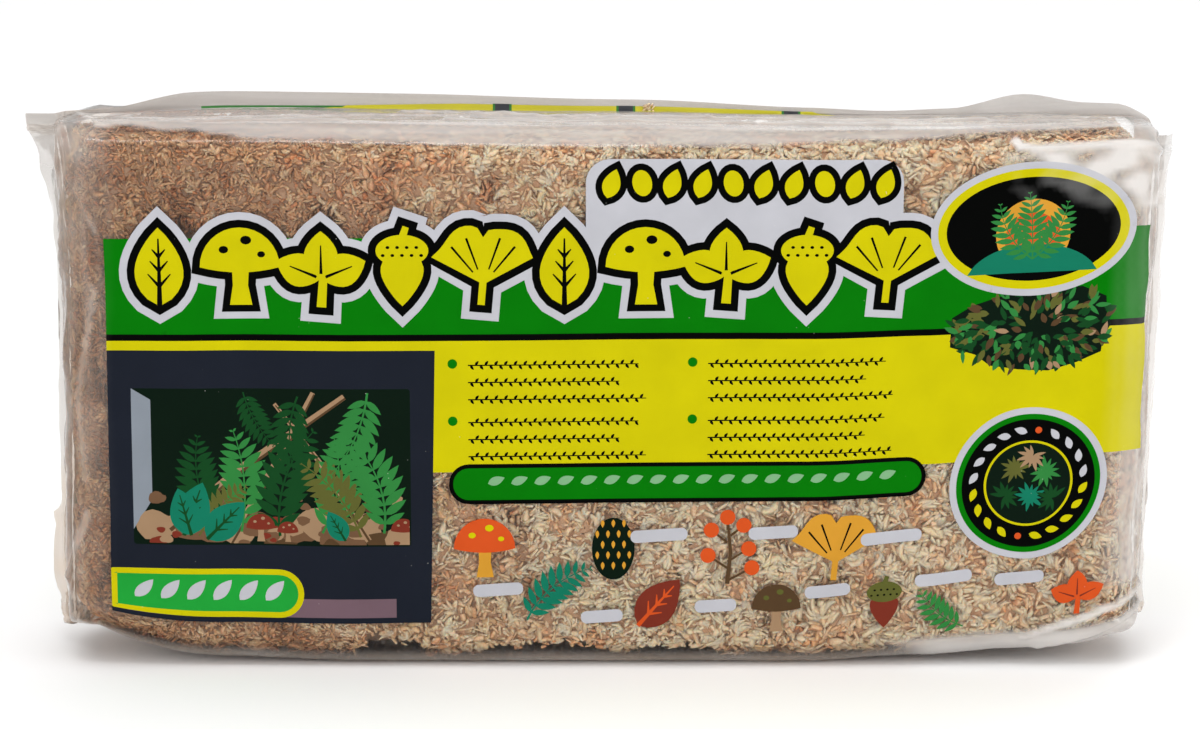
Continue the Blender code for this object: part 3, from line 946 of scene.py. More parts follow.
    def relief(self, s: np.ndarray, t: np.ndarray) -> np.ndarray:
        """Return how far the film's wrinkles and creases lift it off the smooth bag."""
        flat = np.stack([s, t, np.zeros_like(s)], axis=1)
        end = self.end_share(s)
        top = self.top_share(t)
        fin = np.maximum(fade(t, self.t_high - 0.006, self.t_high - 0.002),
                         fade(t, self.t_low + 0.006, self.t_low + 0.002))
        swell = self.slack.at(flat, (0.030, 0.020, 1.0))
        cross = self.crinkle.ridged(flat, (0.011, 0.026, 1.0))
        streak = self.crinkle.ridged(flat + 0.4, (0.060, 0.0075, 1.0))
        fine = self.crinkle.ridged(flat + 0.9, (0.0090, 0.0080, 1.0))
        calm = (1.0 - end) * (1.0 - top)
        raised = calm * (0.10 * swell + 0.10 * cross + 0.05 * fine)
        raised = raised + end * (0.65 * cross + 0.20 * fine + 0.45 * swell)
        raised = raised + top * (1.0 - end) * (0.40 * streak + 0.10 * fine + 0.35 * swell)
        raised = raised * (1.0 - 0.55 * fin) * MM
        for crease in self.creases:
            raised = raised + crease.height * self._crease_share(crease, s, t) ** 1.5
        return raised

    @staticmethod
    def _crease_share(crease: Crease, s: np.ndarray, t: np.ndarray) -> np.ndarray:
        """Return 1 on one crease's line, falling to 0 at its width."""
        nearest = np.full(len(s), np.inf)
        for (s0, t0), (s1, t1) in zip(crease.line, crease.line[1:]):
            length = (s1 - s0) ** 2 + (t1 - t0) ** 2
            share = np.clip(((s - s0) * (s1 - s0) + (t - t0) * (t1 - t0)) / length, 0.0, 1.0)
            away = np.hypot(s - s0 - share * (s1 - s0), t - t0 - share * (t1 - t0))
            nearest = np.minimum(nearest, away)
        return np.maximum(0.0, 1.0 - nearest / crease.width)

    def end_share(self, s: np.ndarray) -> np.ndarray:
        """Return 0 on the bag's long faces and 1 on its ends."""
        return np.maximum(fade(s, 0.122, 0.139), fade(-s, 0.120, 0.136))

    def top_share(self, t: np.ndarray) -> np.ndarray:
        """Return 1 on the bag's top and 0 below it."""
        return np.maximum(fade(t, 0.138, 0.148), fade(t, self.t_low + 0.016, self.t_low + 0.008))

    def haze(self, s: np.ndarray, t: np.ndarray) -> np.ndarray:
        """Return how milky the film is: little on tight film, more where it is slack or gathered, and whitened as
        painted glare in the upper right corner, down the right edge, under the right end and on some creases.
        """
        flat = np.stack([s, t, np.zeros_like(s)], axis=1)
        end = self.end_share(s)
        edge_arc = np.maximum(fade(s, 0.134, 0.143), fade(-s, 0.132, 0.141))
        fin = np.maximum(fade(t, self.t_high - 0.0050, self.t_high - 0.0040),
                         fade(t, self.t_low + 0.0050, self.t_low + 0.0040))
        seal_left, seal_right = self.seal_shares(s)
        down = 0.5 + 0.5 * self.slack.at(flat + 5.0, (0.0018, 0.050, 1.0))
        across = 0.5 + 0.5 * self.slack.at(flat + 6.0, (0.040, 0.0022, 1.0))
        patchy = 0.5 + 0.5 * self.slack.at(flat + 8.0, (0.0080, 0.0046, 1.0))
        edge = smooth_profile(self.HAZE_EDGE, s) + 0.0006 * self.slack.at(flat + 9.0, (0.006, 1.0, 1.0))
        top = np.maximum(fade(t, edge - 0.0009, edge + 0.0009), fade(t, self.t_low + 0.016, self.t_low + 0.008))
        milky = 0.012 + 0.10 * edge_arc + top * (0.36 + 0.24 * across - 0.06 * end)
        milky = np.maximum(milky, 0.16 * fin)
        milky = np.maximum(milky, 0.24 * seal_left + 0.42 * seal_right)
        # Under the front's right end the film is whitened: partly slack milky film, partly painted glare.
        milky = np.maximum(milky, (0.62 + 0.20 * across) * self.low_right(s, t))
        # Painted glare: a patchy white spot in the upper right corner stands in for the reflection of a light on the
        # film.
        lean = s + 0.35 * (t - 0.128)
        glare = fade(lean, 0.092, 0.133) * fade(t, 0.112, 0.127) * fade(t, 0.1385, 0.1340)
        milky = np.maximum(milky, 0.90 * fade(patchy + 0.58 * glare, 0.62, 1.20) * np.minimum(1.0, 3.0 * glare))
        wall = fade(np.abs(s), 0.1435, 0.1475)
        # Down the right edge the film is whitened in streaks: partly milky film, partly painted glare running down from
        # the corner.
        right_edge_milk_and_glare = fade(s, 0.128, 0.1405) * fade(t, 0.012, 0.020)
        milky = np.maximum(milky, right_edge_milk_and_glare * (0.24 + 0.50 * down) * (1.0 - 0.70 * wall))
        left_veil = fade(-s, 0.119, 0.141) * fade(t, 0.002, 0.010)
        milky = np.maximum(milky, left_veil * (0.08 + 0.36 * down + 0.10 * fade(t, 0.080, 0.135)) * (1.0 - 0.60 * wall))
        milky = np.maximum(milky, 0.56 * fade(-s, 0.120, 0.137) * fade(t, 0.118, 0.138) * (0.55 + 0.6 * patchy))
        low_film = fade(t, 0.0045, -0.0010) * fade(t, self.back_base - 0.0045, self.back_base + 0.0010)
        milky = np.maximum(milky, 0.40 * low_film)
        milky = milky * (1.0 + 0.25 * self.slack.at(flat + 2.0, (0.026, 0.012, 1.0)))
        for crease in self.creases:
            milky = np.maximum(milky, crease.milk * fade(self._crease_share(crease, s, t), 0.15, 0.75))
        return np.clip(milky, 0.0, 0.92)

    def seal_shares(self, s: np.ndarray) -> tuple[np.ndarray, np.ndarray]:
        """Return 1 on the left and on the right end seal, and 0 elsewhere."""
        return (fade(-s, self.end_of(-1) - 0.002, self.end_of(-1)), fade(s, self.end_of(1) - 0.002, self.end_of(1)))

    @staticmethod
    def low_right(s: np.ndarray, t: np.ndarray) -> np.ndarray:
        """Return 1 on the slack strip under the front's right end, and 0 elsewhere."""
        return fade(s, 0.070, 0.092) * fade(t, 0.0070, 0.0036) * fade(t, -0.008, -0.003)

    def grey(self, s: np.ndarray, t: np.ndarray) -> np.ndarray:
        """Return how grey the film is: where two layers lie together it takes more light away."""
        fin = np.maximum(fade(t, self.t_high - 0.0050, self.t_high - 0.0040),
                         fade(t, self.t_low + 0.0050, self.t_low + 0.0040))
        seal_left, seal_right = self.seal_shares(s)
        ends = 0.10 * fade(s, 0.138, 0.148) + 0.30 * fade(-s, 0.135, 0.145)
        return np.maximum(np.maximum(np.where(s < 0.100, 0.90, 0.55) * fin, 0.80 * seal_left + 0.30 * seal_right), ends)

    def dust(self, s: np.ndarray, t: np.ndarray) -> np.ndarray:
        """Return how much fine moss dust clings inside the film: most along the bottom and the left end."""
        flat = np.stack([s, t, np.zeros_like(s)], axis=1)
        low = fade(t, 0.0055, 0.001) * fade(t, self.back_base - 0.0055, self.back_base - 0.001)
        low = low * (1.0 - self.low_right(s, t))
        ends = np.maximum(fade(-s, 0.118, 0.136), 0.25 * fade(s, 0.140, 0.147)) * fade(t, 0.150, 0.120)
        cloud = 0.80 + 0.4 * self.slack.at(flat + 7.0, (0.014, 0.006, 1.0))
        seal = np.where(s < 0, fade(-s, self.end_of(-1) - 0.006, self.end_of(-1)), 0.0)
        seal = seal * np.where(t > self.t_middle, fade(t, 0.036, 0.050), 1.0)
        above = 0.34 * fade(s, 0.110, 0.040) * self.top_share(t) * fade(t, self.t_high - 0.004, self.t_high - 0.006)
        return np.clip(np.maximum(np.maximum(0.90 * low, above), 0.95 * ends * (1.0 - 0.85 * seal)) * cloud, 0.0, 1.0)

    def lift(self, s: np.ndarray, t: np.ndarray) -> np.ndarray:
        """Place flat film in space, with its wrinkles.

        Args:
            s: Flat places along the bag.
            t: Flat places round the bag.

        Returns:
            One point in space for each.
        """
        step = 0.0004
        along_s = self.base(s + step, t) - self.base(s - step, t)
        along_t = self.base(s, t + step) - self.base(s, t - step)
        normal = np.cross(along_s, along_t)
        normal /= np.maximum(np.linalg.norm(normal, axis=1, keepdims=True), 1e-12)
        return self.base(s, t) + normal * self.relief(s, t)[:, None]


class Ink(Enum):
    """Inks of the print, each with its colour in linear light."""

    GREEN = (0.0012, 0.1720, 0.0015)
    BRIGHT_GREEN = (0.0150, 0.3400, 0.0400)
    YELLOW = (0.5900, 0.5300, 0.0020)
    BLACK = (0.0006, 0.0008, 0.0006)
    HALO = (0.5100, 0.5100, 0.5500)
    NIGHT = (0.0120, 0.0150, 0.0240)
    SHADE = (0.0030, 0.0100, 0.0050)
    DEEP_GREEN = (0.0070, 0.0580, 0.0140)
    LEAF_GREEN = (0.0300, 0.2100, 0.0450)
    PALE_GREEN = (0.2100, 0.4300, 0.2200)
    OLIVE = (0.1100, 0.1150, 0.0260)
    TEAL = (0.0070, 0.1800, 0.1050)
    ORANGE = (0.6400, 0.0850, 0.0160)
    AMBER = (0.6500, 0.3100, 0.0320)
    RUST = (0.1900, 0.0300, 0.0170)
    BROWN = (0.0900, 0.0500, 0.0230)
    SOIL = (0.1600, 0.0850, 0.0450)
    TAN = (0.3500, 0.2200, 0.1250)
    MAUVE = (0.1700, 0.1050, 0.1300)
    GLASS = (0.2400, 0.2700, 0.3100)


Outline = np.ndarray


def oval(x: float, z: float, radius_x: float, radius_z: float, turn: float = 0.0, count: int = 40) -> Outline:
    """Return an oval's outline; turn is in degrees."""
    angles = np.linspace(0.0, math.tau, count, endpoint=False)
    return placed(np.stack([radius_x * np.cos(angles), radius_z * np.sin(angles)], axis=1), x, z, turn)


def placed(outline: Outline, x: float, z: float, turn: float = 0.0) -> Outline:
    """Return an outline turned about its own zero by some degrees and moved to x, z."""
    c, s = math.cos(math.radians(turn)), math.sin(math.radians(turn))
    return outline @ np.array([[c, s], [-s, c]]) + (x, z)


def rounded(low_x: float, low_z: float, high_x: float, high_z: float, radius: float) -> Outline:
    """Return a rectangle's outline with rounded corners."""
    corner = np.linspace(0.0, math.pi / 2, 8)
    parts = []
    for quarter, (x, z) in enumerate(((high_x, high_z), (low_x, high_z), (low_x, low_z), (high_x, low_z))):
        inward_x, inward_z = math.copysign(radius, low_x + high_x - 2 * x), math.copysign(radius, low_z + high_z - 2 * z)
        turn = corner + quarter * math.pi / 2
        parts.append(np.stack([x + inward_x + radius * np.cos(turn), z + inward_z + radius * np.sin(turn)], axis=1))
    return np.concatenate(parts)


def leaf(x: float, z: float, length: float, width: float, turn: float, belly: float = 0.8,
         count: int = 12) -> Outline:
    """Return a pointed leaf's outline.

    Args:
        x: Where the leaf's base is.
        z: Height of its base.
        length: From base to tip.
        width: Across its widest place.
        turn: Direction of the tip in degrees, 0 to the right and 90 up.
        belly: Below 1 the widest place is nearer the base.
        count: Points along each edge.

    Returns:
        The outline.
    """
    share = np.linspace(0.0, 1.0, count)
    half = width / 2 * np.sin(math.pi * share ** belly) ** 0.85
    upper = np.stack([share * length, half], axis=1)
    lower = np.stack([share * length, -half], axis=1)[::-1][1:-1]
    return placed(np.concatenate([upper, lower]), x, z, turn)


def stroke(points: np.ndarray, start_width: float, end_width: float) -> Outline:
    """Return the outline of a line drawn through points with a width that changes along it."""
    points = np.asarray(points, float)
    way = np.gradient(points, axis=0)
    way /= np.maximum(np.linalg.norm(way, axis=1, keepdims=True), 1e-9)
    side = np.stack([-way[:, 1], way[:, 0]], axis=1)
    half = np.linspace(start_width / 2, end_width / 2, len(points))[:, None]
    return np.concatenate([points + side * half, (points - side * half)[::-1]])


def pebble(x: float, z: float, radius: float, flat: float, rng: np.random.Generator) -> Outline:
    """Return an uneven rounded outline, like a stone's or a clump's."""
    angles = np.linspace(0.0, math.tau, 18, endpoint=False)
    reach = radius * (1.0 + 0.10 * np.sin(angles * 3 + rng.uniform(0, 6)) + rng.normal(0, 0.045, len(angles)))
    return np.stack([x + reach * np.cos(angles), z + reach * flat * np.sin(angles)], axis=1)


def grown(outline: Outline, amount: float) -> Outline:
    """Return an outline widened by an amount on all sides."""
    area = np.sum(outline[:, 0] * np.roll(outline[:, 1], -1) - np.roll(outline[:, 0], -1) * outline[:, 1])
    before, after = outline - np.roll(outline, 1, axis=0), np.roll(outline, -1, axis=0) - outline
    normals = []
    for way in (before, after):
        way = way / np.maximum(np.linalg.norm(way, axis=1, keepdims=True), 1e-9)
        normals.append(np.stack([way[:, 1], -way[:, 0]], axis=1) * math.copysign(1.0, area))
    middle = normals[0] + normals[1]
    middle /= np.maximum(np.linalg.norm(middle, axis=1, keepdims=True), 1e-9)
    stretch = 1.0 / np.maximum(np.einsum("ij,ij->i", middle, normals[0]), 0.72)
    return outline + middle * (amount * stretch)[:, None]


class Artwork:
    """Flat shapes in printing order, in millimetres; a later shape covers an earlier one."""

    def __init__(self) -> None:
        """Start with nothing printed."""
        self.shapes: list[tuple[Ink, Outline]] = []

    def add(self, ink: Ink, *outlines: Outline) -> None:
        """Print outlines in one ink."""
        self.shapes += [(ink, outline) for outline in outlines]

    def add_group(self, shapes: list[tuple[Ink, Outline]], rims: tuple[tuple[float, Ink], ...]) -> None:
        """Print shapes with rims round the whole group.

        Args:
            shapes: The shapes of the group, in printing order.
            rims: Width and ink of each rim, the widest first.
        """
        for width, ink in rims:
            self.add(ink, *(grown(outline, width) for shape_ink, outline in shapes if shape_ink is not Ink.BLACK))
        self.shapes += shapes


class Motifs:
    """Plain natural shapes that the print is made of: leaves, sprigs, caps, nuts and stones."""

    @staticmethod
    def broad_leaf(x: float, z: float, size: float, fill: Ink, vein: Ink, turn: float = 90.0) -> list[tuple[Ink, Outline]]:
        """Return a broad leaf with a midrib and side veins, standing on x, z."""
        way = np.array([math.cos(math.radians(turn)), math.sin(math.radians(turn))])
        shapes = [(fill, leaf(x, z, size, size * 0.62, turn))]
        shapes.append((vein, stroke([(x, z), tuple(np.array([x, z]) + way * size * 0.86)], size * 0.07, size * 0.02)))
        for share, side in product((0.25, 0.45, 0.63), (-1, 1)):
            start = np.array([x, z]) + way * size * share
            veer = math.radians(turn + side * 42)
            end = start + np.array([math.cos(veer), math.sin(veer)]) * size * 0.24 * (1.15 - share)
            shapes.append((vein, stroke([start, end], size * 0.045, size * 0.015)))
        return shapes

    @staticmethod
    def capped(x: float, z: float, size: float, cap: Ink, stem: Ink, mark: Ink) -> list[tuple[Ink, Outline]]:
        """Return a mushroom that stands on x, z."""
        foot = np.array([(-0.13, 0.0), (0.15, 0.0), (0.10, 0.25), (0.12, 0.55), (-0.10, 0.55), (-0.09, 0.25)])
        turns = np.linspace(0.0, math.pi, 17)
        dome = np.stack([0.50 * np.cos(turns), 0.48 + 0.50 * np.sin(turns)], axis=1)
        under = np.stack([np.linspace(-0.50, 0.50, 9)[1:-1], 0.48 - 0.07 * np.cos(np.linspace(-1.5, 1.5, 9)[1:-1])],
                         axis=1)
        shapes = [(stem, foot * size + (x, z)), (cap, np.concatenate([dome, under]) * size + (x, z))]
        for spot_x, spot_z, radius in ((-0.20, 0.70, 0.06), (0.08, 0.82, 0.07), (0.27, 0.64, 0.05)):
            shapes.append((mark, oval(x + spot_x * size, z + spot_z * size, radius * size, radius * size * 0.8, 0, 12)))
        return shapes

    @staticmethod
    def trefoil(x: float, z: float, size: float, fill: Ink, vein: Ink) -> list[tuple[Ink, Outline]]:
        """Return three leaves on a short stalk that stands on x, z."""
        shapes = [(fill, stroke([(x, z), (x + size * 0.03, z + size * 0.42)], size * 0.12, size * 0.10))]
        for turn in (22.0, 158.0, 90.0):
            shapes.append((fill, leaf(x, z + size * 0.36, size * 0.60, size * 0.42, turn, 0.95)))
            way = np.array([math.cos(math.radians(turn)), math.sin(math.radians(turn))])
            start = np.array([x, z + size * 0.36])
            shapes.append((vein, stroke([start + way * size * 0.06, start + way * size * 0.42], size * 0.04,
                                        size * 0.015)))
        return shapes

    @staticmethod
    def nut(x: float, z: float, size: float, fill: Ink, cup: Ink) -> list[tuple[Ink, Outline]]:
        """Return an acorn that stands on its tip at x, z."""
        body = leaf(x, z + size * 0.68, size * 0.68, size * 0.54, -90.0, 0.62)
        top = oval(x, z + size * 0.70, size * 0.33, size * 0.20)
        stalk = stroke([(x, z + size * 0.85), (x + size * 0.05, z + size)], size * 0.10, size * 0.08)
        shapes = [(fill, body), (cup, stalk), (cup, top)]
        for row, count in ((0.64, 5), (0.74, 4)):
            for k in range(count):
                spot = x + (k - (count - 1) / 2) * size * 0.12
                shapes.append((Ink.BLACK, oval(spot, z + row * size, size * 0.025, size * 0.02, 0, 8)))
        return shapes

    @staticmethod
    def fan(x: float, z: float, size: float, fill: Ink, vein: Ink) -> list[tuple[Ink, Outline]]:
        """Return a fan-shaped leaf on a stalk that stands on x, z."""
        turns = np.radians(np.linspace(28.0, 152.0, 23))
        reach = size * 0.74 * (1.0 - 0.05 * np.cos(np.linspace(0, 14.0, 23)) - 0.16 * np.exp(-((turns - 1.57) / 0.07) ** 2))
        root = np.array([x, z + size * 0.26])
        edge = root + np.stack([np.cos(turns), np.sin(turns)], axis=1) * reach[:, None]
        shapes = [(fill, np.concatenate([root[None], edge])),
                  (fill, stroke([(x - size * 0.03, z), (x, z + size * 0.34)], size * 0.09, size * 0.09))]
        for angle in (50, 70, 110, 130):
            way = np.array([math.cos(math.radians(angle)), math.sin(math.radians(angle))])
            shapes.append((vein, stroke([root + way * size * 0.2, root + way * size * 0.62], size * 0.02, size * 0.03)))
        return shapes

    @staticmethod
    def curl(x: float, z: float, size: float, fill: Ink) -> list[tuple[Ink, Outline]]:
        """Return a young fern's curled tip that stands on x, z."""
        angles = np.linspace(-0.5 * math.pi, 3.4 * math.pi, 54)
        reach = np.linspace(0.34, 0.05, 54) * size
        centre = np.array([x + size * 0.02, z + size * 0.64])
        spiral = centre + np.stack([-np.cos(angles), np.sin(angles)], axis=1) * reach[:, None]
        stalk = np.array([(x + size * 0.30, z), (x + size * 0.30, z + size * 0.1), (x + size * 0.22, z + size * 0.26)])
        return [(fill, stroke(np.concatenate([stalk, spiral]), size * 0.17, size * 0.09))]

    @staticmethod
    def cone(x: float, z: float, size: float, fill: Ink, scale_ink: Ink) -> list[tuple[Ink, Outline]]:
        """Return a cone with rows of scales that stands on x, z."""
        shapes = [(fill, oval(x, z + size * 0.5, size * 0.34, size * 0.5))]
        for row in range(5):
            height = 0.16 + row * 0.17
            count = 3 + row % 2
            for k in range(count):
                spot = x + (k - (count - 1) / 2) * size * 0.17
                shapes.append((scale_ink, leaf(spot, z + size * height, size * 0.13, size * 0.06, 90.0, 1.2, 6)))
        return shapes

    @staticmethod
    def frond(x: float, z: float, length: float, turn: float, ink: Ink, bend: float = 25.0,
              pairs: int = 11, width: float = 0.30) -> list[tuple[Ink, Outline]]:
        """Return a fern frond.

        Args:
            x: Where its stalk starts.
            z: Height of that place.
            length: Length of the frond.
            turn: Direction in which it starts, in degrees.
            ink: Its ink.
            bend: How far it turns over its length, in degrees.
            pairs: Pairs of leaflets.
            width: Length of the longest leaflet as a share of the frond's.

        Returns:
            The stalk and its leaflets.
        """
        angles = np.radians(turn + np.linspace(0.0, bend, pairs + 2))
        steps = np.stack([np.cos(angles), np.sin(angles)], axis=1) * length / (pairs + 1)
        spine = np.array([x, z]) + np.concatenate([[[0.0, 0.0]], np.cumsum(steps[:-1], axis=0)])
        shapes = [(ink, stroke(spine, length * 0.025, length * 0.008))]
        for k in range(1, pairs + 2):
            share = k / (pairs + 1)
            reach = length * width * (math.sin(math.pi * min(1.0, 0.18 + share * 0.80)) ** 0.8 + 0.05)
            for side in (-1, 1):
                shapes.append((ink, leaf(*spine[k], reach, reach * 0.30 + length * 0.008,
                                         math.degrees(angles[k]) + side * 58, 0.8, 6)))
        return shapes

    @staticmethod
    def sprig_line(low_x: float, high_x: float, z: float, ink: Ink, size: float = 1.5) -> list[tuple[Ink, Outline]]:
        """Return a thin lying stem with small leaflets above and below it."""
        shapes = [(ink, stroke([(low_x, z), (high_x, z)], 0.35, 0.25))]
        for number, spot in enumerate(np.arange(low_x + 0.6, high_x - 0.6, 1.25)):
            side = 1 if number % 2 else -1
            shapes.append((ink, leaf(spot, z, size, size * 0.5, side * 52, 0.8, 5)))
        return shapes

    @staticmethod
    def berries(x: float, z: float, size: float, berry: Ink, twig: Ink) -> list[tuple[Ink, Outline]]:
        """Return a twig with berries that stands on x, z."""
        shapes = [(twig, stroke([(x, z), (x + size * 0.05, z + size * 0.5), (x, z + size)], size * 0.07, size * 0.04))]
        for spot_x, spot_z in ((-0.3, 0.45), (0.33, 0.55), (-0.25, 0.85), (0.25, 0.92), (0.0, 1.05), (0.38, 0.25)):
            shapes.append((twig, stroke([(x, z + size * (spot_z - 0.2)), (x + spot_x * size, z + spot_z * size)],
                                        size * 0.04, size * 0.03)))
            shapes.append((berry, oval(x + spot_x * size, z + spot_z * size, size * 0.12, size * 0.12, 0, 16)))
        return shapes


@dataclass(frozen=True)
class FrontPrint:
    """Print of the front panel, in millimetres: x along the bag, z up the plain front."""

    left: float = -127.0
    right: float = 141.8
    band: tuple[float, float] = (88.2, 113.2)
    rule: float = 1.7
    field_low: float = 52.0
    window: tuple[float, float, float, float] = (-124.0, 11.5, -44.0, 84.0)
    badge: tuple[float, float, float] = (112.0, 45.0, 20.6)
    emblem: tuple[float, float, float, float] = (111.0, 113.5, 23.8, 15.4)
    mound: tuple[float, float, float] = (112.0, 87.0, 21.5)
    slope: float = 0.014
    level_x: float = 7.0

    def art(self) -> Artwork:
        """Draw the whole front."""
        art = Artwork()
        low, high = self.band
        art.add(Ink.GREEN, np.array([(self.left, low), (self.right, low), (self.right, high), (self.left, high)]))
        art.add(Ink.BLACK, np.array([(self.left, low - self.rule), (self.right, low - self.rule),
                                     (self.right, low), (self.left, low)]))
        art.add(Ink.YELLOW, np.array([(self.left, self.field_low), (self.right, self.field_low),
                                      (self.right, low - self.rule), (self.left, low - self.rule)]))
        self._window(art)
        self._heading(art)
        self._field(art)
        self._mound(art)
        self._emblem(art)
        self._badge(art)
        self._specimens(art)
        return art

    def _heading(self, art: Artwork) -> None:
        """Draw the row of large yellow leaves and caps, and the small row above it."""
        shapes, size, base = [], 20.5, 95.6
        for number, x in enumerate(np.linspace(-113.0, 74.0, 10)):
            z = base + 0.3 * math.sin(number * 2.1)
            if number % 5 == 0:
                shapes += Motifs.broad_leaf(x, z, size, Ink.YELLOW, Ink.BLACK)
            elif number % 5 == 1:
                shapes += Motifs.capped(x, z, size, Ink.YELLOW, Ink.YELLOW, Ink.BLACK)
            elif number % 5 == 2:
                shapes += Motifs.trefoil(x, z, size, Ink.YELLOW, Ink.BLACK)
            elif number % 5 == 3:
                shapes += Motifs.nut(x, z, size, Ink.YELLOW, Ink.YELLOW)
            else:
                shapes += Motifs.fan(x, z, size, Ink.YELLOW, Ink.BLACK)
        art.add(Ink.HALO, rounded(-3.6, 108.0, 77.6, 133.2, 6.0))
        row = []
        for number, x in enumerate(np.linspace(2.4, 72.4, 10)):
            if number % 3 == 1:
                row.append((Ink.YELLOW, oval(x + 0.6, 127.0, 2.5, 3.4, 12.0, 24)))
            else:
                row.append((Ink.YELLOW, leaf(x - 0.6, 123.2, 7.8, 4.6, 72.0, 0.85)))
        art.add_group(row, ((1.7, Ink.BLACK),))
        art.add_group(shapes, ((4.0, Ink.HALO), (2.0, Ink.BLACK)))

    def _field(self, art: Artwork) -> None:
        """Draw the rows of small sprigs on the yellow field and the green bar below it."""
        for low_x, high_x in ((-38.0, 14.0), (24.0, 78.0)):
            for row, z in enumerate((80.5, 76.0, 71.5, 65.5, 61.0, 56.5)):
                shift = (4.0, 9.0, 2.0)[row % 3]
                if row % 3 == 0:
                    art.add(Ink.GREEN, oval(low_x, z, 1.25, 1.25, 0, 20))
                for ink, outline in Motifs.sprig_line(low_x + 4.0, high_x - shift, z - 0.4, Ink.BLACK):
                    art.add(ink, outline)
        bar = rounded(-38.0, 44.6, 84.0, 53.0, 4.1)
        art.add(Ink.BLACK, grown(bar, 1.1))
        art.add(Ink.GREEN, bar)
        for x in np.linspace(-29.0, 73.0, 18):
            art.add(Ink.PALE_GREEN, leaf(x, 48.9, 4.6, 2.3, 20.0, 0.85, 8))

    def _window(self, art: Artwork) -> None:
        """Draw the dark framed window with plants, twigs and stones on a bed of soil."""
        rng = np.random.default_rng(5)
        low_x, low_z, high_x, high_z = self.window
        low_x = self.left
        art.add(Ink.NIGHT, np.array([(low_x, low_z), (high_x, low_z + 0.6), (high_x + 1.5, high_z), (low_x, high_z)]))
        inner = (low_x + 6.0, low_z + 21.0, high_x - 5.0, high_z - 10.0)
        art.add(Ink.SHADE, rounded(*inner, 0.8))
        art.add(Ink.GLASS, np.array([(inner[0], inner[1] + 4), (inner[0] + 5, inner[1] + 12),
                                     (inner[0] + 5, inner[3] - 3), (inner[0], inner[3])]))
        art.add(Ink.MAUVE, np.array([(low_x + 4, low_z + 1.5), (high_x - 9, low_z + 2), (high_x - 9, low_z + 7.0),
                                     (low_x + 4, low_z + 6.5)]))
        clip = (inner[0] + 0.4, inner[1] + 0.4, inner[2] - 0.4, inner[3] - 0.4)
        picture = Artwork()
        for x in np.linspace(inner[0] + 6, inner[2] - 2, 13):
            picture.add(rng.choice([Ink.SOIL, Ink.BROWN, Ink.TAN]),
                        pebble(x, inner[1] + rng.uniform(1, 6), rng.uniform(4, 7), 0.7, rng))
        for _ in range(34):
            spot = (rng.uniform(inner[0] + 6, inner[2]), rng.uniform(inner[1], inner[1] + 13))
            picture.add(rng.choice([Ink.SOIL, Ink.BROWN, Ink.RUST, Ink.TAN]),
                        pebble(*spot, rng.uniform(0.8, 2.4), 0.7, rng))
        for start, end, wide in (((-112, 37), (-66, 72), 2.6), ((-96, 33), (-74, 73), 2.0), ((-60, 34), (-84, 70), 1.6)):
            middle = (np.array(start) + np.array(end)) / 2 + rng.normal(0, 2.5, 2)
            picture.add(Ink.TAN, stroke([start, tuple(middle), end], wide, wide * 0.6))
            picture.add(Ink.BROWN, stroke([np.array(start) + (0.5, -0.6), middle + (0.5, -0.6),
                                           np.array(end) + (0.3, -0.4)], wide * 0.4, wide * 0.2))
        for x, z, length, turn, ink, bend in (
                (-100, 38, 24, 118, Ink.DEEP_GREEN, -40), (-93, 36, 27, 80, Ink.LEAF_GREEN, 30),
                (-83, 35, 30, 95, Ink.DEEP_GREEN, -50), (-72, 36, 26, 62, Ink.LEAF_GREEN, 45),
                (-62, 35, 25, 110, Ink.OLIVE, 40), (-56, 36, 27, 84, Ink.LEAF_GREEN, 55),
                (-104, 35, 18, 60, Ink.OLIVE, -30), (-78, 72, 22, 250, Ink.DEEP_GREEN, 40),
                (-60, 73, 24, 262, Ink.LEAF_GREEN, -35), (-92, 73, 16, 285, Ink.DEEP_GREEN, 30)):
            for shape_ink, outline in Motifs.frond(x, z, length, turn, ink, bend, 10, 0.27):
                picture.add(shape_ink, outline)
        for x, z, size, turn in ((-108, 35, 15, 70), (-106, 35, 13, 105), (-102, 34, 14, 45), (-66, 34, 9, 120)):
            for shape_ink, outline in Motifs.broad_leaf(x, z, size, Ink.TEAL, Ink.DEEP_GREEN, turn):
                picture.add(shape_ink, outline)
        for x, size in ((-88, 7.5), (-81, 5.5), (-51, 6.5)):
            for shape_ink, outline in Motifs.capped(x, 33.5, size, Ink.RUST, Ink.TAN, Ink.TAN):
                picture.add(shape_ink, outline)
        for ink, outline in picture.shapes:
            art.add(ink, np.clip(outline, clip[:2], clip[2:]))
        plate = rounded(low_x - 6.0, low_z + 1.6, low_x + 50.0, low_z + 14.6, 6.4)
        plate = np.maximum(plate, (low_x, -100.0))
        art.add(Ink.YELLOW, plate)
        art.add(Ink.BRIGHT_GREEN, np.maximum(grown(plate, -1.5), (low_x, -100.0)))
        for x in np.linspace(low_x + 6, low_x + 40, 6):
            art.add(Ink.HALO, leaf(x, low_z + 6.2, 7.2, 3.3, 48.0, 0.85, 10))

    def _emblem(self, art: Artwork) -> None:
        """Draw the oval with a frond over a low sun."""
        x, z, radius_x, radius_z = self.emblem
        for grow, ink in ((2.4, Ink.HALO), (0.6, Ink.YELLOW), (-1.6, Ink.BLACK)):
            art.add(ink, oval(x, z, radius_x + grow, radius_z + grow, 0, 72))
        art.add(Ink.AMBER, oval(x, z - 1.5, 9.5, 9.5, 0, 40))
        art.add(Ink.ORANGE, oval(x, z - 2.8, 7.2, 7.2, 0, 36))
        art.add(Ink.TEAL, np.clip(oval(x, z - 14.0, 17.0, 10.0, 0, 60), (x - 30, z - 11.6), (x + 30, z + 30)))
        for turn, bend in ((142.0, -48.0), (38.0, 48.0), (90.0, 8.0)):
            for ink, outline in Motifs.frond(x, z - 8.0, 17.5, turn, Ink.LEAF_GREEN, bend, 9, 0.26):
                art.add(ink, outline)

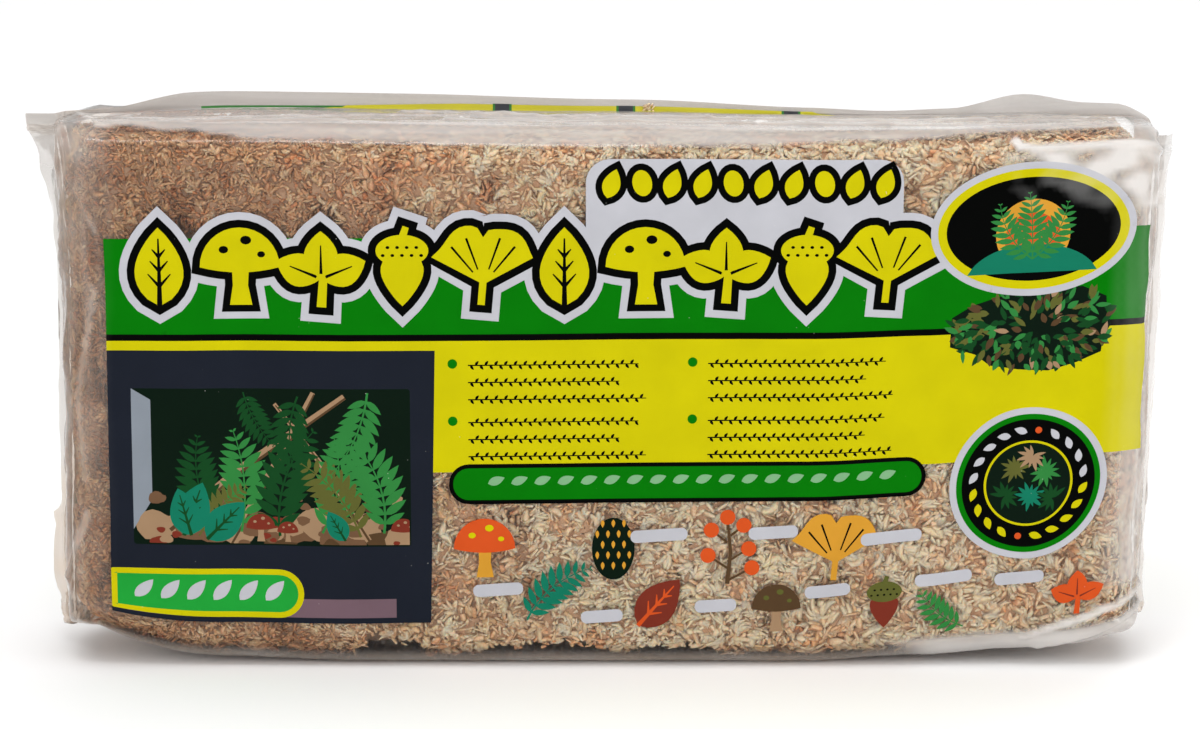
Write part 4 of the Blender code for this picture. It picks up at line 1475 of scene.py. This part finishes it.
    def _mound(self, art: Artwork) -> None:
        """Draw the dark mossy mound below the oval."""
        rng = np.random.default_rng(9)
        x, z, radius = self.mound
        art.add(Ink.SHADE, pebble(x, z, radius, 0.50, rng))
        for _ in range(230):
            angle, reach = rng.uniform(0, math.tau), radius * math.sqrt(rng.random())
            spot_x, spot_z = x + reach * math.cos(angle) * 0.98, z + reach * math.sin(angle) * 0.46
            ink = rng.choice([Ink.DEEP_GREEN, Ink.LEAF_GREEN, Ink.OLIVE, Ink.DEEP_GREEN, Ink.BROWN, Ink.TAN],
                             p=[0.32, 0.22, 0.20, 0.10, 0.10, 0.06])
            turn = math.degrees(angle) + rng.normal(0, 35)
            art.add(ink, leaf(spot_x, spot_z, rng.uniform(2.4, 4.4), rng.uniform(1.0, 1.8), turn, 0.8, 6))

    def _badge(self, art: Artwork) -> None:
        """Draw the round badge with a tuft of moss in its middle and leaves round its ring."""
        rng = np.random.default_rng(12)
        x, z, radius = self.badge
        for share, ink in ((1.0, Ink.HALO), (0.915, Ink.GREEN), (0.845, Ink.BLACK), (0.565, Ink.YELLOW),
                           (0.535, Ink.SHADE)):
            art.add(ink, oval(x, z, radius * share, radius * share, 0, 88))
        for k in range(20):
            angle = math.tau * (k + 0.5) / 20
            reach = radius * 0.705
            ink = Ink.ORANGE if k in (4, 14) else (Ink.HALO if k < 10 else Ink.YELLOW)
            spot = (x + reach * math.cos(angle), z + reach * math.sin(angle))
            if k in (4, 14):
                art.add(ink, oval(*spot, 0.9, 0.9, 0, 14))
            else:
                art.add(ink, leaf(spot[0] - 1.7 * math.cos(angle + 1.1), spot[1] - 1.7 * math.sin(angle + 1.1),
                                  3.6, 1.9, math.degrees(angle + 1.1), 0.85, 8))
        for centre_x, centre_z, ink in ((-3.6, 4.2, Ink.OLIVE), (4.4, 3.0, Ink.LEAF_GREEN), (0.5, -3.6, Ink.TEAL),
                                        (-6.0, -3.2, Ink.DEEP_GREEN), (6.3, -4.4, Ink.DEEP_GREEN), (1.0, 7.4, Ink.TAN)):
            for turn in np.linspace(0, 360, 13)[:-1] + rng.uniform(0, 30):
                size = rng.uniform(3.0, 4.6)
                blade = leaf(x + centre_x, z + centre_z, size, size * 0.26, turn, 0.8, 6)
                reach = np.hypot(blade[:, 0] - x, blade[:, 1] - z)
                if reach.max() < radius * 0.52:
                    art.add(ink, blade)

    def _specimens(self, art: Artwork) -> None:
        """Draw the small plants and caps along the clear strip, each with a bare plate."""
        specimens = [
            Motifs.capped(-30.0, 24.0, 16.0, Ink.ORANGE, Ink.AMBER, Ink.YELLOW),
            Motifs.frond(-19.0, 12.5, 22.0, 62.0, Ink.TEAL, -50.0, 9, 0.26),
            Motifs.cone(3.5, 23.0, 16.5, Ink.SHADE, Ink.AMBER),
            Motifs.broad_leaf(10.0, 10.5, 16.5, Ink.RUST, Ink.ORANGE, 48.0),
            Motifs.berries(33.5, 21.5, 17.0, Ink.ORANGE, Ink.BROWN),
            Motifs.capped(46.5, 8.5, 13.0, Ink.BROWN, Ink.TAN, Ink.OLIVE),
            Motifs.fan(62.0, 22.0, 18.0, Ink.AMBER, Ink.BLACK),
            Motifs.nut(75.0, 8.0, 14.0, Ink.RUST, Ink.OLIVE),
            Motifs.frond(96.0, 7.0, 16.0, 155.0, Ink.LEAF_GREEN, -40.0, 8, 0.28),
            Motifs.trefoil(126.0, 8.0, 12.5, Ink.ORANGE, Ink.RUST),
        ]
        for specimen in specimens:
            art.shapes += specimen
        for x, z, width in ((-33.0, 19.0, 13.0), (-5.0, 11.5, 11.0), (8.0, 33.0, 15.0), (25.0, 14.0, 11.0),
                            (39.0, 33.5, 13.0), (54.0, 17.5, 12.0), (68.5, 31.0, 16.0), (83.0, 19.0, 15.0),
                            (104.0, 17.5, 13.0)):
            plate = rounded(x, z, x + width, z + 3.3, 1.5)
            art.add(Ink.HALO, placed(plate - plate.mean(axis=0), *plate.mean(axis=0), 3.0))

    def to_flat(self, outline: Outline) -> np.ndarray:
        """Return an outline of the art as flat places on the film, in metres."""
        height = outline[:, 1] + self.slope * (outline[:, 0] - self.level_x)
        return np.stack([outline[:, 0], height], axis=1) * MM


@dataclass(frozen=True)
class BackPrint:
    """Print of the back panel, in millimetres as seen from behind, and its border at the top seam."""

    reach: tuple[float, float] = (-134.0, 130.0)
    low: float = 9.0
    high: float = 128.0
    border: tuple[float, float] = (-67.0, 56.0)
    border_height: float = 2.2
    marks: tuple[float, ...] = (-25.8, 6.8, 50.4)

    def art(self) -> Artwork:
        """Draw the back panel."""
        rng = np.random.default_rng(31)
        art = Artwork()
        left, right = self.reach
        art.add(Ink.YELLOW, rounded(left, self.low, right, self.high, 1.5))
        art.add(Ink.GREEN, rounded(left, self.high - 22.0, right, self.high, 1.5))
        art.add(Ink.BLACK, np.array([(left, self.high - 23.4), (right, self.high - 23.4),
                                     (right, self.high - 22.0), (left, self.high - 22.0)]))
        shapes = []
        for number, x in enumerate(np.linspace(left + 60.0, right - 60.0, 9)):
            if number % 3 == 0:
                shapes += Motifs.trefoil(x, self.high - 18.5, 14.0, Ink.YELLOW, Ink.BLACK)
            elif number % 3 == 1:
                shapes += Motifs.broad_leaf(x, self.high - 18.5, 14.0, Ink.YELLOW, Ink.BLACK)
            else:
                shapes += Motifs.fan(x, self.high - 18.5, 14.5, Ink.YELLOW, Ink.BLACK)
        art.add_group(shapes, ((2.6, Ink.HALO), (1.3, Ink.BLACK)))
        for low_x in (left + 8.0, left + 74.0):
            for row in range(9):
                z = 92.0 - row * 5.2 - (row // 3) * 2.0
                if row % 3 == 0:
                    art.add(Ink.GREEN, oval(low_x, z, 1.2, 1.2, 0, 18))
                for ink, outline in Motifs.sprig_line(low_x + 4.0, low_x + (56.0, 50.0, 58.0)[row % 3], z - 0.4,
                                                      Ink.BLACK):
                    art.add(ink, outline)
        panel = rounded(left + 144.0, 20.0, right - 10.0, 96.0, 3.0)
        art.add(Ink.DEEP_GREEN, panel)
        art.add(Ink.SHADE, grown(panel, -1.6))
        for x, z, length, turn, ink in ((40, 24, 52, 62, Ink.LEAF_GREEN), (60, 23, 58, 88, Ink.DEEP_GREEN),
                                        (82, 23, 54, 100, Ink.LEAF_GREEN), (104, 24, 50, 118, Ink.OLIVE),
                                        (50, 23, 34, 120, Ink.OLIVE), (94, 23, 36, 60, Ink.TEAL)):
            for shape_ink, outline in Motifs.frond(x, z, length, turn, ink, 18.0, 14, 0.24):
                art.add(shape_ink, np.clip(outline, (left + 146.5, 22.5), (right - 12.5, 93.5)))
        for x, size, ink in ((34, 13, Ink.RUST), (72, 17, Ink.ORANGE), (88, 11, Ink.RUST), (109, 12, Ink.BROWN)):
            art.shapes += Motifs.capped(x, 24.0, size, ink, Ink.TAN, Ink.AMBER)
        art.add(Ink.HALO, rounded(left + 8.0, 15.0, left + 46.0, 38.0, 1.0))
        bar = rounded(left + 54.0, 18.0, left + 132.0, 30.0, 5.9)
        art.add(Ink.BLACK, grown(bar, 1.0))
        art.add(Ink.GREEN, bar)
        for x in np.linspace(left + 62.0, left + 120.0, 9):
            art.add(Ink.PALE_GREEN, leaf(x, 24.0, 6.0, 2.8, 22.0 + rng.normal(0, 3), 0.85, 8))
        return art

    def border_shapes(self, base: float, upward: float) -> list[tuple[Ink, np.ndarray]]:
        """Return the strip and its dark marks at the foot of the top seam, as flat places in metres.

        Args:
            base: Flat place round the bag where the seam stands up.
            upward: 1 where the flat places rise toward the seam's edge, else -1.

        Returns:
            Inks and outlines.
        """
        start, end = self.border
        high, low = self.border_height, -2.0
        strip = [(start, high * 0.45), (start + 30.0, high * 0.9), (end - 10.0, high), (end, high), (end + 6.0, low),
                 (start - 6.0, low)]
        thin = [(start - 38.0, 0.05), (start, 0.35), (start, 0.9), (start - 38.0, 0.6)]
        shapes = [(Ink.GREEN, thin), (Ink.YELLOW, strip)]
        for x in self.marks:
            shapes.append((Ink.GREEN, [(x - 2.5, low), (x + 2.5, low), (x + 2.5, high), (x - 2.5, high)]))
            shapes.append((Ink.NIGHT, [(x - 1.9, low), (x + 1.9, low), (x + 1.9, high), (x - 1.9, high)]))
        return [(ink, np.array([(x * MM, base + upward * z * MM) for x, z in outline])) for ink, outline in shapes]


@dataclass(frozen=True)
class ClearFilm:
    """Clear glossy film that turns milky where it is slack, folded or gathered; some of its milky white is painted
    glare.
    """

    ior: float = 1.27
    gloss_roughness: float = 0.15
    clear_tint: Colour = (0.985, 0.982, 0.975)
    grey_tint: Colour = (0.620, 0.600, 0.580)
    dust_tint: Colour = (0.740, 0.640, 0.550)
    milk: Colour = (0.660, 0.630, 0.605)
    dusty_milk: Colour = (0.530, 0.430, 0.345)
    ripple_scale: float = 330.0
    ripple_depth: float = 0.00012

    def material(self, name: str) -> bpy.types.Material:
        """Build the material, which reads how milky the film is at each place, painted glare included."""
        sheet = NodeSheet(name)
        place = sheet.node("TexCoord").outputs["Object"]
        ripple = sheet.node("TexNoise", {"Vector": place, "Scale": self.ripple_scale, "Detail": 2.0}).outputs["Fac"]
        bump = sheet.node("Bump", {"Height": ripple, "Strength": 0.6,
                                   "Distance": self.ripple_depth}).outputs["Normal"]
        milky = sheet.node("Attribute", attribute_name="haze").outputs["Fac"]
        tint = (*self.clear_tint, 1.0)
        for name, shade in (("grey", self.grey_tint), ("dust", self.dust_tint)):
            amount = sheet.node("Attribute", attribute_name=name).outputs["Fac"]
            tint = sheet.node("Mix", {"Factor": amount, "A": tint, "B": (*shade, 1.0)},
                              data_type="RGBA").outputs["Result"]
        clear = sheet.node("BsdfTransparent", {"Color": tint}).outputs["BSDF"]
        dusty = sheet.node("Attribute", attribute_name="dust").outputs["Fac"]
        pale = sheet.node("Mix", {"Factor": dusty, "A": (*self.milk, 1.0), "B": (*self.dusty_milk, 1.0)},
                          data_type="RGBA").outputs["Result"]
        milk = sheet.node("BsdfDiffuse", {"Color": pale, "Normal": bump}).outputs["BSDF"]
        # The milky part also carries the painted glare.
        body = sheet.node("MixShader", {"Fac": milky, 1: clear, 2: milk}).outputs["Shader"]
        gloss = sheet.node("BsdfGlossy", {"Color": (1.0, 1.0, 1.0, 1.0), "Roughness": self.gloss_roughness,
                                          "Normal": bump}).outputs["BSDF"]
        mirror = sheet.node("Fresnel", {"IOR": self.ior, "Normal": bump}).outputs["Fac"]
        shader = sheet.node("MixShader", {"Fac": mirror, 1: body, 2: gloss}).outputs["Shader"]
        return sheet.finish(shader)


@dataclass(frozen=True)
class InkFinish:
    """Opaque printed ink under the film's gloss, slightly uneven and with fine pinholes."""

    roughness: float = 0.34
    gloss: float = 0.025
    strength: float = 0.81
    uneven: float = 0.05
    milk: Colour = (0.80, 0.79, 0.78)
    pinhole_scale: float = 420.0

    def material(self, ink: Ink) -> bpy.types.Material:
        """Build the material of one ink."""
        sheet = NodeSheet("ink " + ink.name.lower().replace("_", " "))
        place = sheet.node("TexCoord").outputs["Object"]
        cloud = sheet.node("TexNoise", {"Vector": place, "Scale": 90.0, "Detail": 4.0}).outputs["Fac"]
        uneven = sheet.node("MapRange", {
            "Value": cloud, "From Min": 0.3, "From Max": 0.7, "To Min": self.strength * (1 - self.uneven),
            "To Max": self.strength * (1 + self.uneven)}).outputs["Result"]
        base = sheet.node("Mix", {"Factor": 1.0, "A": (*ink.value, 1.0), "B": uneven}, data_type="RGBA",
                          blend_type="MULTIPLY").outputs["Result"]
        holes = sheet.node("TexVoronoi", {"Vector": place, "Scale": self.pinhole_scale}).outputs["Distance"]
        hole = sheet.node("MapRange", {"Value": holes, "From Min": 0.07, "From Max": 0.03}).outputs["Result"]
        rare = sheet.node("MapRange", {"Value": cloud, "From Min": 0.58, "From Max": 0.64}).outputs["Result"]
        speck = sheet.node("Math", {0: hole, 1: rare}, operation="MULTIPLY").outputs["Value"]
        speck = sheet.node("Math", {0: speck, 1: 0.45}, operation="MULTIPLY").outputs["Value"]
        colour = sheet.node("Mix", {"Factor": speck, "A": base, "B": (0.6, 0.6, 0.55, 1.0)},
                            data_type="RGBA").outputs["Result"]
        # Ink behind milky film turns paler, also where the milk is painted glare.
        haze = sheet.node("Attribute", attribute_name="haze").outputs["Fac"]
        milky = sheet.node("MapRange", {"Value": haze, "From Min": 0.04, "From Max": 0.9,
                                        "To Max": 0.11}).outputs["Result"]
        seen = sheet.node("Mix", {"Factor": milky, "A": colour, "B": (*self.milk, 1.0)},
                          data_type="RGBA").outputs["Result"]
        shader = sheet.node("BsdfPrincipled", {"Base Color": seen, "Roughness": self.roughness,
                                               "Specular IOR Level": self.gloss})
        return sheet.finish(shader.outputs["BSDF"])


@dataclass
class FilmBag:
    """The sealed bag: one sheet of film round the brick, with its print and its two end seals."""

    form: BrickForm
    front: FrontPrint = field(default_factory=FrontPrint)
    back: BackPrint = field(default_factory=BackPrint)
    outline_step: float = 0.0020
    seal_width: float = 0.0062

    def __post_init__(self) -> None:
        """Set up the film's shape with its main creases."""
        self.shape = FilmShape(self.form, self.creases())

    @staticmethod
    def creases() -> tuple[Crease, ...]:
        """Return the fold lines that stand out in the film."""
        return (
            Crease(((0.1060, 0.1385), (0.1072, 0.1368), (0.1110, 0.1360), (0.128, 0.1364), (0.142, 0.1372),
                    (0.150, 0.1376)), 0.0010, 0.0021, 0.96),
            # The next three small whitened lines on the left ear are painted glints.
            Crease(((-0.1622, 0.1500), (-0.1650, 0.1680)), 0.0004, 0.0013, 0.95),
            Crease(((-0.1300, 0.1590), (-0.1330, 0.1560)), 0.0004, 0.0012, 0.95),
            Crease(((-0.1215, 0.1660), (-0.1245, 0.1620)), 0.0004, 0.0011, 0.90),
            Crease(((-0.052, 0.1700), (-0.012, 0.1640), (0.006, 0.1612), (0.028, 0.1618)), 0.0009, 0.0020, 0.78),
            Crease(((0.028, 0.1618), (0.070, 0.1660), (0.100, 0.1640)), 0.0007, 0.0024, 0.70),
            Crease(((-0.128, 0.1420), (-0.100, 0.1480), (-0.066, 0.1500)), 0.0007, 0.0020, 0.66),
            Crease(((-0.040, 0.1560), (0.020, 0.1530), (0.075, 0.1560)), 0.0006, 0.0020, 0.72),
            Crease(((-0.137, 0.1300), (-0.141, 0.1120), (-0.144, 0.0920)), 0.0007, 0.0018, 0.55),
            Crease(((-0.1340, 0.1250), (-0.1290, 0.1130)), 0.0006, 0.0016, 0.35),
            Crease(((-0.130, 0.0980), (-0.1345, 0.0700), (-0.1330, 0.0480)), 0.0004, 0.0018, 0.40),
            # The next two whitened folds under the right end are partly painted glints.
            Crease(((0.112, 0.0040), (0.120, 0.0065), (0.136, 0.0100), (0.146, 0.0150)), 0.0012, 0.0020, 0.80),
            Crease(((0.116, -0.0010), (0.132, 0.0030), (0.146, 0.0080)), 0.0010, 0.0022, 0.70),
            Crease(((-0.133, 0.0380), (-0.138, 0.0240), (-0.146, 0.0120)), 0.0008, 0.0022, 0.45),
            Crease(((0.1395, 0.1280), (0.1400, 0.0900), (0.1405, 0.0500), (0.1390, 0.0180)), 0.0004, 0.0016, 0.62),
        )

    def lattice(self) -> np.ndarray:
        """Return flat places spread over the whole film, closer where it is creased."""
        shape = self.shape
        rows, t = [shape.t_low], shape.t_low
        while t < shape.t_high:
            t += self._row_step(t)
            rows.append(t)
        rows = shape.t_low + (np.array(rows) - shape.t_low) * (shape.t_high - shape.t_low) / (rows[-1] - shape.t_low)
        ends = (-shape.end_of(-1) - self.seal_width, shape.end_of(1) + self.seal_width)
        places = []
        for number, t in enumerate(rows):
            spots, s = [ends[0]], ends[0]
            while s < ends[1]:
                s += self._spot_step(s, t)
                spots.append(s)
            spots = ends[0] + (np.array(spots) - ends[0]) * (ends[1] - ends[0]) / (spots[-1] - ends[0])
            if number % 2:
                spots = np.concatenate([spots[:1], (spots[:-1] + spots[1:]) / 2, spots[-1:]])
            places.append(np.stack([spots, np.full(len(spots), t)], axis=1))
        return np.concatenate(places)

    def _row_step(self, t: float) -> float:
        """Return the distance between rows of the lattice near t."""
        shape = self.shape
        if t > shape.t_high - 0.0055 or t < shape.t_low + 0.0055:
            return 0.00075
        if t > 0.128:
            return 0.0011
        if t > 0.010:
            return 0.0015
        if t > -0.010:
            return 0.0011
        if t > shape.back_base * 0.30 - 0.02:
            return 0.0024
        return 0.0019

    def _spot_step(self, s: float, t: float) -> float:
        """Return the distance between the lattice's places along a row near s."""
        if s < -0.122 or s > 0.122:
            return 0.0013 if t > self.shape.t_middle else 0.0019
        if t < self.shape.t_middle:
            return 0.0024
        return 0.0016 if 0.010 < t < 0.128 else 0.0014

    def printed_shapes(self) -> list[tuple[Ink, np.ndarray]]:
        """Return all print as inks and outlines in flat places on the film."""
        shapes = [(ink, self.front.to_flat(outline)) for ink, outline in self.front.art().shapes]
        back_zero = 2.0 * self.shape.t_middle
        for ink, outline in self.back.art().shapes:
            shapes.append((ink, np.stack([-outline[:, 0] * MM, back_zero - outline[:, 1] * MM], axis=1)))
        fin = self.shape.FIN
        return (shapes + self.back.border_shapes(self.shape.t_low + fin, -1.0)
                + self.back.border_shapes(self.shape.t_high - fin, 1.0))

    def in_short_steps(self, outline: np.ndarray) -> np.ndarray:
        """Return an outline with points added along its long edges, so that the film can bend there."""
        following = np.roll(outline, -1, axis=0)
        counts = np.maximum(1, np.ceil(np.linalg.norm(following - outline, axis=1) / self.outline_step)).astype(int)
        parts = [start + (end - start) * (np.arange(count) / count)[:, None]
                 for start, end, count in zip(outline, following, counts)]
        return np.concatenate(parts)

    def build(self) -> bpy.types.Object:
        """Build and dress the film.

        Returns:
            The bag as one mesh, with its print in the film's own faces.
        """
        shapes = [(ink, self.in_short_steps(outline)) for ink, outline in self.printed_shapes()]
        lattice = self.lattice()
        edges, points, start = [], [], 0
        for _, outline in shapes:
            count = len(outline)
            points.append(outline)
            edges += [(start + k, start + (k + 1) % count) for k in range(count)]
            start += count
        flat = np.concatenate(points + [lattice])
        result = delaunay_2d_cdt([Vector(p) for p in (flat * 1000.0).tolist()], edges, [], 0, 1e-4, False)
        places = np.array(result[0], float) / 1000.0
        faces = np.array(result[2], int)
        corners = places[faces]
        first, second = corners[:, 1] - corners[:, 0], corners[:, 2] - corners[:, 0]
        area = first[:, 0] * second[:, 1] - first[:, 1] * second[:, 0]
        faces = faces[np.abs(area) > 1e-13]
        middles = places[faces].mean(axis=1)
        inks = self._inks_at(middles, shapes)
        bag = make_mesh("bag_film", self.shape.lift(places[:, 0], places[:, 1]), faces)
        used = sorted({ink for ink in inks if ink is not None}, key=lambda ink: ink.name)
        bag.data.materials.append(ClearFilm().material("clear film"))
        for ink in used:
            bag.data.materials.append(InkFinish().material(ink))
        slots = np.array([0 if ink is None else 1 + used.index(ink) for ink in inks], np.int32)
        bag.data.polygons.foreach_set("material_index", slots)
        for name, read in (("haze", self.shape.haze), ("grey", self.shape.grey), ("dust", self.shape.dust)):
            give_values(bag, name, read(places[:, 0], places[:, 1]))
        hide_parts("bag_front", "bag_back")
        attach(bag, "root")
        return bag

    @staticmethod
    def _inks_at(middles: np.ndarray, shapes: list[tuple[Ink, np.ndarray]]) -> list[Ink | None]:
        """Return the ink that shows at each place, or None where the film is clear."""
        inks: list[Ink | None] = [None] * len(middles)
        order = np.argsort(middles[:, 0])
        sorted_s = middles[order, 0]
        for ink, outline in shapes:
            low, high = outline.min(axis=0), outline.max(axis=0)
            near = order[np.searchsorted(sorted_s, low[0]):np.searchsorted(sorted_s, high[0])]
            near = near[(middles[near, 1] > low[1]) & (middles[near, 1] < high[1])]
            if not len(near):
                continue
            spot = middles[near]
            inside = np.zeros(len(near), bool)
            for (s0, t0), (s1, t1) in zip(outline, np.roll(outline, -1, axis=0)):
                crosses = (t0 > spot[:, 1]) != (t1 > spot[:, 1])
                at = s0 + (spot[:, 1] - t0) * (s1 - s0) / (t1 - t0 if t1 != t0 else 1e-12)
                inside ^= crosses & (spot[:, 0] < at)
            for index in near[inside]:
                inks[index] = ink
        return inks


@dataclass
class Studio:
    """The plain floor, soft lights and camera, which aren't part of the object."""

    floor_radius: float = 12.0
    target: tuple[float, float, float] = (0.0, -0.025, 0.0715)
    distance: float = 1.0
    elevation: float = 11.5
    lens: float = 116.4
    shift: float = 0.0304
    world_strength: float = 0.48

    def build_floor(self) -> None:
        """Lay the pale floor."""
        turns = np.linspace(0.0, math.tau, 65)[:-1]
        points = np.stack([np.cos(turns), np.sin(turns), np.zeros_like(turns)], axis=1) * self.floor_radius
        floor = make_mesh("floor", points, np.arange(len(turns))[None, :])
        sheet = NodeSheet("pale floor")
        shader = sheet.node("BsdfPrincipled", {"Base Color": (0.95, 0.95, 0.95, 1.0), "Roughness": 0.9,
                                               "Specular IOR Level": 0.0})
        floor.data.materials.append(sheet.finish(shader.outputs["BSDF"]))

    def add_light(self, name: str, place: tuple[float, float, float], size: tuple[float, float],
                  power: float) -> None:
        """Hang a soft box that faces the object.

        Args:
            name: The light's name.
            place: Where its middle is.
            size: Its width and height.
            power: Its power in watts.
        """
        light = bpy.data.lights.new(name, "AREA")
        light.shape = "RECTANGLE"
        light.size, light.size_y = size
        light.energy = power
        item = bpy.data.objects.new(name, light)
        item.location = place
        aim = Vector(self.target) - Vector(place)
        item.rotation_euler = aim.to_track_quat("-Z", "Y").to_euler()
        bpy.context.scene.collection.objects.link(item)

    def add_distant_light(self, name: str, way: tuple[float, float, float], spread: float, strength: float) -> None:
        """Add a wide, even light that comes from far away.

        Args:
            name: The light's name.
            way: Direction from the object to the light.
            spread: How wide the light looks, in degrees.
            strength: Its strength.
        """
        light = bpy.data.lights.new(name, "SUN")
        light.angle = math.radians(spread)
        light.energy = strength
        item = bpy.data.objects.new(name, light)
        item.rotation_euler = (-Vector(way)).to_track_quat("-Z", "Y").to_euler()
        bpy.context.scene.collection.objects.link(item)

    def build(self) -> None:
        """Build the floor, world, lights and camera."""
        self.build_floor()
        world = bpy.data.worlds.new("studio")
        world.use_nodes = True
        background = world.node_tree.nodes["Background"]
        background.inputs["Color"].default_value = (1.0, 1.0, 1.0, 1.0)
        background.inputs["Strength"].default_value = self.world_strength
        bpy.context.scene.world = world
        self.add_distant_light("front left", (-0.62, -0.72, 0.22), 45.0, 1.00)
        self.add_distant_light("front right", (0.62, -0.72, 0.22), 45.0, 1.00)
        self.add_distant_light("back", (0.25, 0.80, 0.50), 60.0, 0.55)
        self.add_distant_light("overhead", (0.0, -0.05, 1.0), 70.0, 1.00)
        self.add_light("key", (-0.45, -0.85, 1.05), (0.8, 0.6), 1.0)
        self.add_light("right", (1.05, -0.35, 0.42), (0.5, 0.6), 1.6)
        self.add_light("above", (0.10, 0.45, 1.20), (0.9, 0.5), 1.2)
        self.add_light("glint", (-0.10, -0.55, 1.10), (0.30, 0.05), 1.6)
        camera = bpy.data.objects.new("camera", bpy.data.cameras.new("camera"))
        camera.data.lens = self.lens
        camera.data.sensor_width = 36.0
        camera.data.shift_y = self.shift
        camera.data.clip_start = 0.05
        tilt = math.radians(self.elevation)
        offset = Vector((0.0, -math.cos(tilt), math.sin(tilt))) * self.distance
        camera.location = Vector(self.target) + offset
        camera.rotation_euler = (-offset).to_track_quat("-Z", "Y").to_euler()
        bpy.context.scene.collection.objects.link(camera)
        bpy.context.scene.camera = camera
        bpy.context.scene.view_settings.view_transform = "Standard"


def main() -> None:
    """Build the object and its studio, and report each piece."""
    logging.basicConfig(level=logging.INFO, format="%(message)s")
    form = BrickForm()
    printed = ((-0.122, 0.057, 0.134, 0.109), (-0.122, 0.014, -0.047, 0.058), (-0.125, 0.014, 0.129, 0.123))
    pieces = [*MossBrick(form).build(printed), FilmBag(form).build()]
    Studio().build()
    for piece in pieces:
        log.info("%s: %d triangles", piece.name, len(piece.data.loops) - 2 * len(piece.data.polygons))


if __name__ == "__main__":
    main()
